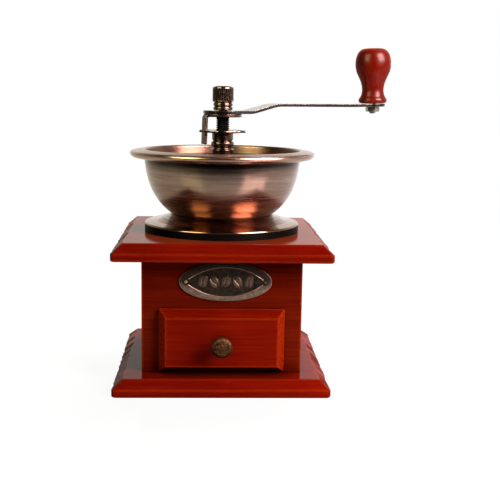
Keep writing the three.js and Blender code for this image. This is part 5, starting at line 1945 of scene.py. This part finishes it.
def knob():
    height, bore, gap, head, recess_low = KNOB_HEIGHT, 2.35, 0.3, 5.2, KNOB_HEIGHT - 3.6
    foot = fillet([(bore, gap, 0), (7.2, gap, 0.4), (7.9, 0.5, 0)], 3)
    bead = bezier((7.9, 0.5), (9.0, 0.9), (9.3, 2.4), (8.1, 3.8), 10)
    waist = bezier((8.1, 3.8), (6.3, 6.4), (6.4, 10.6), (8.1, 14.6), 16)
    swell = bezier((8.1, 14.6), (9.8, 18.4), (11.15, 20.4), (11.15, 24.6), 14)
    shoulder = bezier((11.15, 24.6), (11.15, 29.6), (9.6, 33.6), (head, height - 0.05), 18)
    recess = fillet([
        (head, height - 0.05, 0), (4.2, height, 0.3), (4.1, recess_low, 0.2), (bore, recess_low, 0),
        (bore, gap, 0)], 4)
    profile = [*foot, *bead[1:], *waist[1:], *swell[1:], *shoulder[1:], *recess[1:]]
    return piece(
        "turned_knob", turned(profile, 96), "crank_knob", LACQUER_KNOB, crease=42, place=knob_place)


knob()
print("knob", KNOB_HEIGHT, "mm high")

# %% Knob bolt and lock nut
def knob_pin():
    tip, under_head = -6.1, KNOB_HEIGHT - 3.3
    crown = under_head + 2.6
    profile = fillet([
        (0, tip, 0), (2, tip, 0.4), (2, under_head, 0), (3.6, under_head, 0.2),
        (3.6, under_head + 1.6, 0.9), (0, crown, 0)], 4)
    thread = thread_shape(tip + 0.3, -1.2, depth=0.3, pitch=0.7)
    made = new_object("knob_pin", *turned(profile, 48, thread))
    combine(made, drive_cutter("slot", crown, 4), "DIFFERENCE")
    return settle(made, "knob_bolt", STEEL, crease=30, place=knob_place)


knob_pin()
NUT_TURN = math.radians(-17.5)
NUT_THICK = 3.1
nut_top = -ARM_THICK - 0.15
hex_nut("knob_nut", "knob_lock_nut", 7.8, 2.25, nut_top - NUT_THICK, nut_top, STEEL,
        knob_place @ Matrix.Rotation(NUT_TURN, 4, "Z"))
print("knob bolt and nut ready")

# %% [markdown]
# ## The oval plate
#
# A cast bronze plate: an oval with a rounded edge and a border that rises gently to a fine raised
# line, which is a pointed oval, and inside the line a sunken field. The field carries a row of
# coffee beans in low relief. The border is painted dark above, a painted shadow of the top board,
# and is rubbed and painted lighter below, which is in the plate's finish. The plate is a stack of
# rings from its back to the field, and each ring has a point on each tip of the pointed oval, so
# that the tips stay sharp.

# %% Plate rings
PLATE_POINTS = 200                     # points round each ring
LINE_HALF = (22.75, 8.65)              # the outer foot of the raised line
FIELD_DEPTH = 0.62


def oval_ring(half_x, half_z, height):
    angles = [TURN * i / PLATE_POINTS for i in range(PLATE_POINTS)]
    return [Vector((half_x * math.cos(a), half_z * math.sin(a), height)) for a in angles]


def pointed_ring(half_x, half_z, height):
    """Two circular arcs that meet in a point at each end, with its points over those of an oval."""
    radius = (half_x ** 2 + half_z ** 2) / (2 * half_z)
    ring = []
    for point in oval_ring(half_x, half_z, height):
        rise = math.sqrt(max(radius ** 2 - point.x ** 2, 0)) - (radius - half_z)
        ring.append(Vector((point.x, math.copysign(max(rise, 0.0), point.y), height)))
    return ring


def plate_rings(half_x, half_z, thick):
    """From the back, round the edge, up the border, over the line, and down to the field."""
    oval = [(0.35, 0), (0, 0.3), (0, thick - 0.75), (0.1, thick - 0.58), (0.3, thick - 0.52)]
    rings = [oval_ring(half_x - inset, half_z - inset, height) for inset, height in oval]
    line_x, line_z = LINE_HALF
    rim, line = rings[-1], pointed_ring(line_x, line_z, thick - 0.26)
    for k in range(1, 8):
        share = k / 8
        swell = 0.06 * math.sin(math.pi * share)
        rings.append([a.lerp(b, share) + Vector((0, 0, swell)) for a, b in zip(rim, line)])
    pointed = [
        (0, -0.26), (0.12, -0.06), (0.28, 0), (0.44, -0.06), (0.6, -0.25), (0.75, -FIELD_DEPTH)]
    for inset, height in pointed:
        rings.append(pointed_ring(line_x - 1.15 * inset, line_z - inset, thick + height))
    return rings


print("raised line at", LINE_HALF, "mm")

# %% [markdown]
# A coffee bean in low relief is a flat dome with an S-shaped furrow along it. It is a stack of
# ovals that shrink to the top, and the furrow is pressed into each of them.

# %% Plate with its beans
BEAN_HALF = (4.1, 2.9)
BEAN_RISE = 0.56
SUNK = 0.15                            # how far a bean's foot is let into the field
FURROW_DEPTH, FURROW_WIDTH = 0.42, 0.36
BEANS = ((-12.7, 0.2, 66), (-6.4, -0.3, 122), (0.1, 0.2, 58), (6.5, -0.3, 114), (12.8, 0.1, 70))


def bean(x, z, angle, thick):
    half_long, half_wide = BEAN_HALF
    steps, around = 14, 48
    foot = thick - FIELD_DEPTH - SUNK
    angles = [TURN * i / around for i in range(around)]
    rings = [[Vector((half_long * math.cos(a), half_wide * math.sin(a), foot - 0.1)) for a in angles]]
    for k in range(steps):
        share = k / steps
        ring = []
        for point in rings[0]:
            flat = point.to_2d() * (1 - share)
            furrow = flat.y - 0.55 * math.sin(flat.x * 0.80)
            dome = (BEAN_RISE + SUNK) * math.sqrt(max(1 - (1 - share) ** 2, 0))
            cut = FURROW_DEPTH * math.exp(-(furrow / FURROW_WIDTH) ** 2) * min(1.0, 3 * share)
            ring.append(Vector((flat.x, flat.y, foot + dome - cut)))
        rings.append(ring)
    points, faces = lofted(rings)
    spin = Matrix.Translation((x, z, 0)) @ Matrix.Rotation(math.radians(angle), 4, "Z")
    return new_object("bean", [spin @ p for p in points], faces)


def plate():
    low, high = extent("name_plate")
    half_x, half_z, thick = (high.x - low.x) / 2, (high.z - low.z) / 2, high.y - low.y
    centre = middle("name_plate")
    body = new_object("oval_plate", *lofted(plate_rings(half_x, half_z, thick)))
    for x, z, angle in BEANS:
        combine(body, bean(x, z, angle, thick), "UNION")
    for side in (-PIN_REACH, PIN_REACH):
        drill(body, side, 0, 0.9, -1, thick + 1, 24)
        drill(body, side, 0, 1.65, thick - 0.7, thick + 1, 32)
    reshape(body, lambda p: (centre.x + p.x, high.y - p.z, centre.z + p.y))
    return settle(body, "name_plate", PLATE_BRONZE, crease=40)


plate()
print("plate ready")

# %% [markdown]
# Two small pins hold the plate. The right one has darkened with the plate, and the left one has
# been renewed in brass.

# %% Plate pins
pin_points, pin_faces = turned(fillet([
    (0, -5.8, 0), (0.6, -5.5, 0.2), (0.6, 0, 0), (0.95, 0, 0.1), (0.9, 0.4, 0.3), (0, 0.6, 0)], 4), 32)
for name, node, finish in (
        ("plate_pin_left", "name_plate_pin_left", BRASS),
        ("plate_pin_right", "name_plate_pin_right", BRONZE)):
    seat, spot = extent(node)[0].y + 0.75, middle(node)
    points = [(spot.x + p[0], seat - p[2], spot.z + p[1]) for p in pin_points]
    piece(name, (points, pin_faces), node, finish)
print("pins ready")

# %% [markdown]
# ## Flags
#
# The two mirrored softboxes are there for the metal. In a studio a black flag keeps the mirror
# image of such a lamp off a glossy board, where it would burn out the top. Light linking is the
# flag here: the boards are excluded from what these two lamps reach.

# %% Keep the mirrored softboxes off the boards
BOARD_FINISHES = {LACQUER_LONG, LACQUER_TOP, LACQUER_FRONT, LACQUER_DRAWER, LACQUER_SIDE}
flagged = bpy.data.collections.new("boards out of the mirrored light")
for board_piece in bpy.data.objects:
    if board_piece.type == "MESH" and BOARD_FINISHES & set(board_piece.data.materials):
        flagged.objects.link(board_piece)
for member in flagged.collection_objects:
    member.light_linking.link_state = "EXCLUDE"
for lamp in MIRRORED:
    lamp.light_linking.receiver_collection = flagged
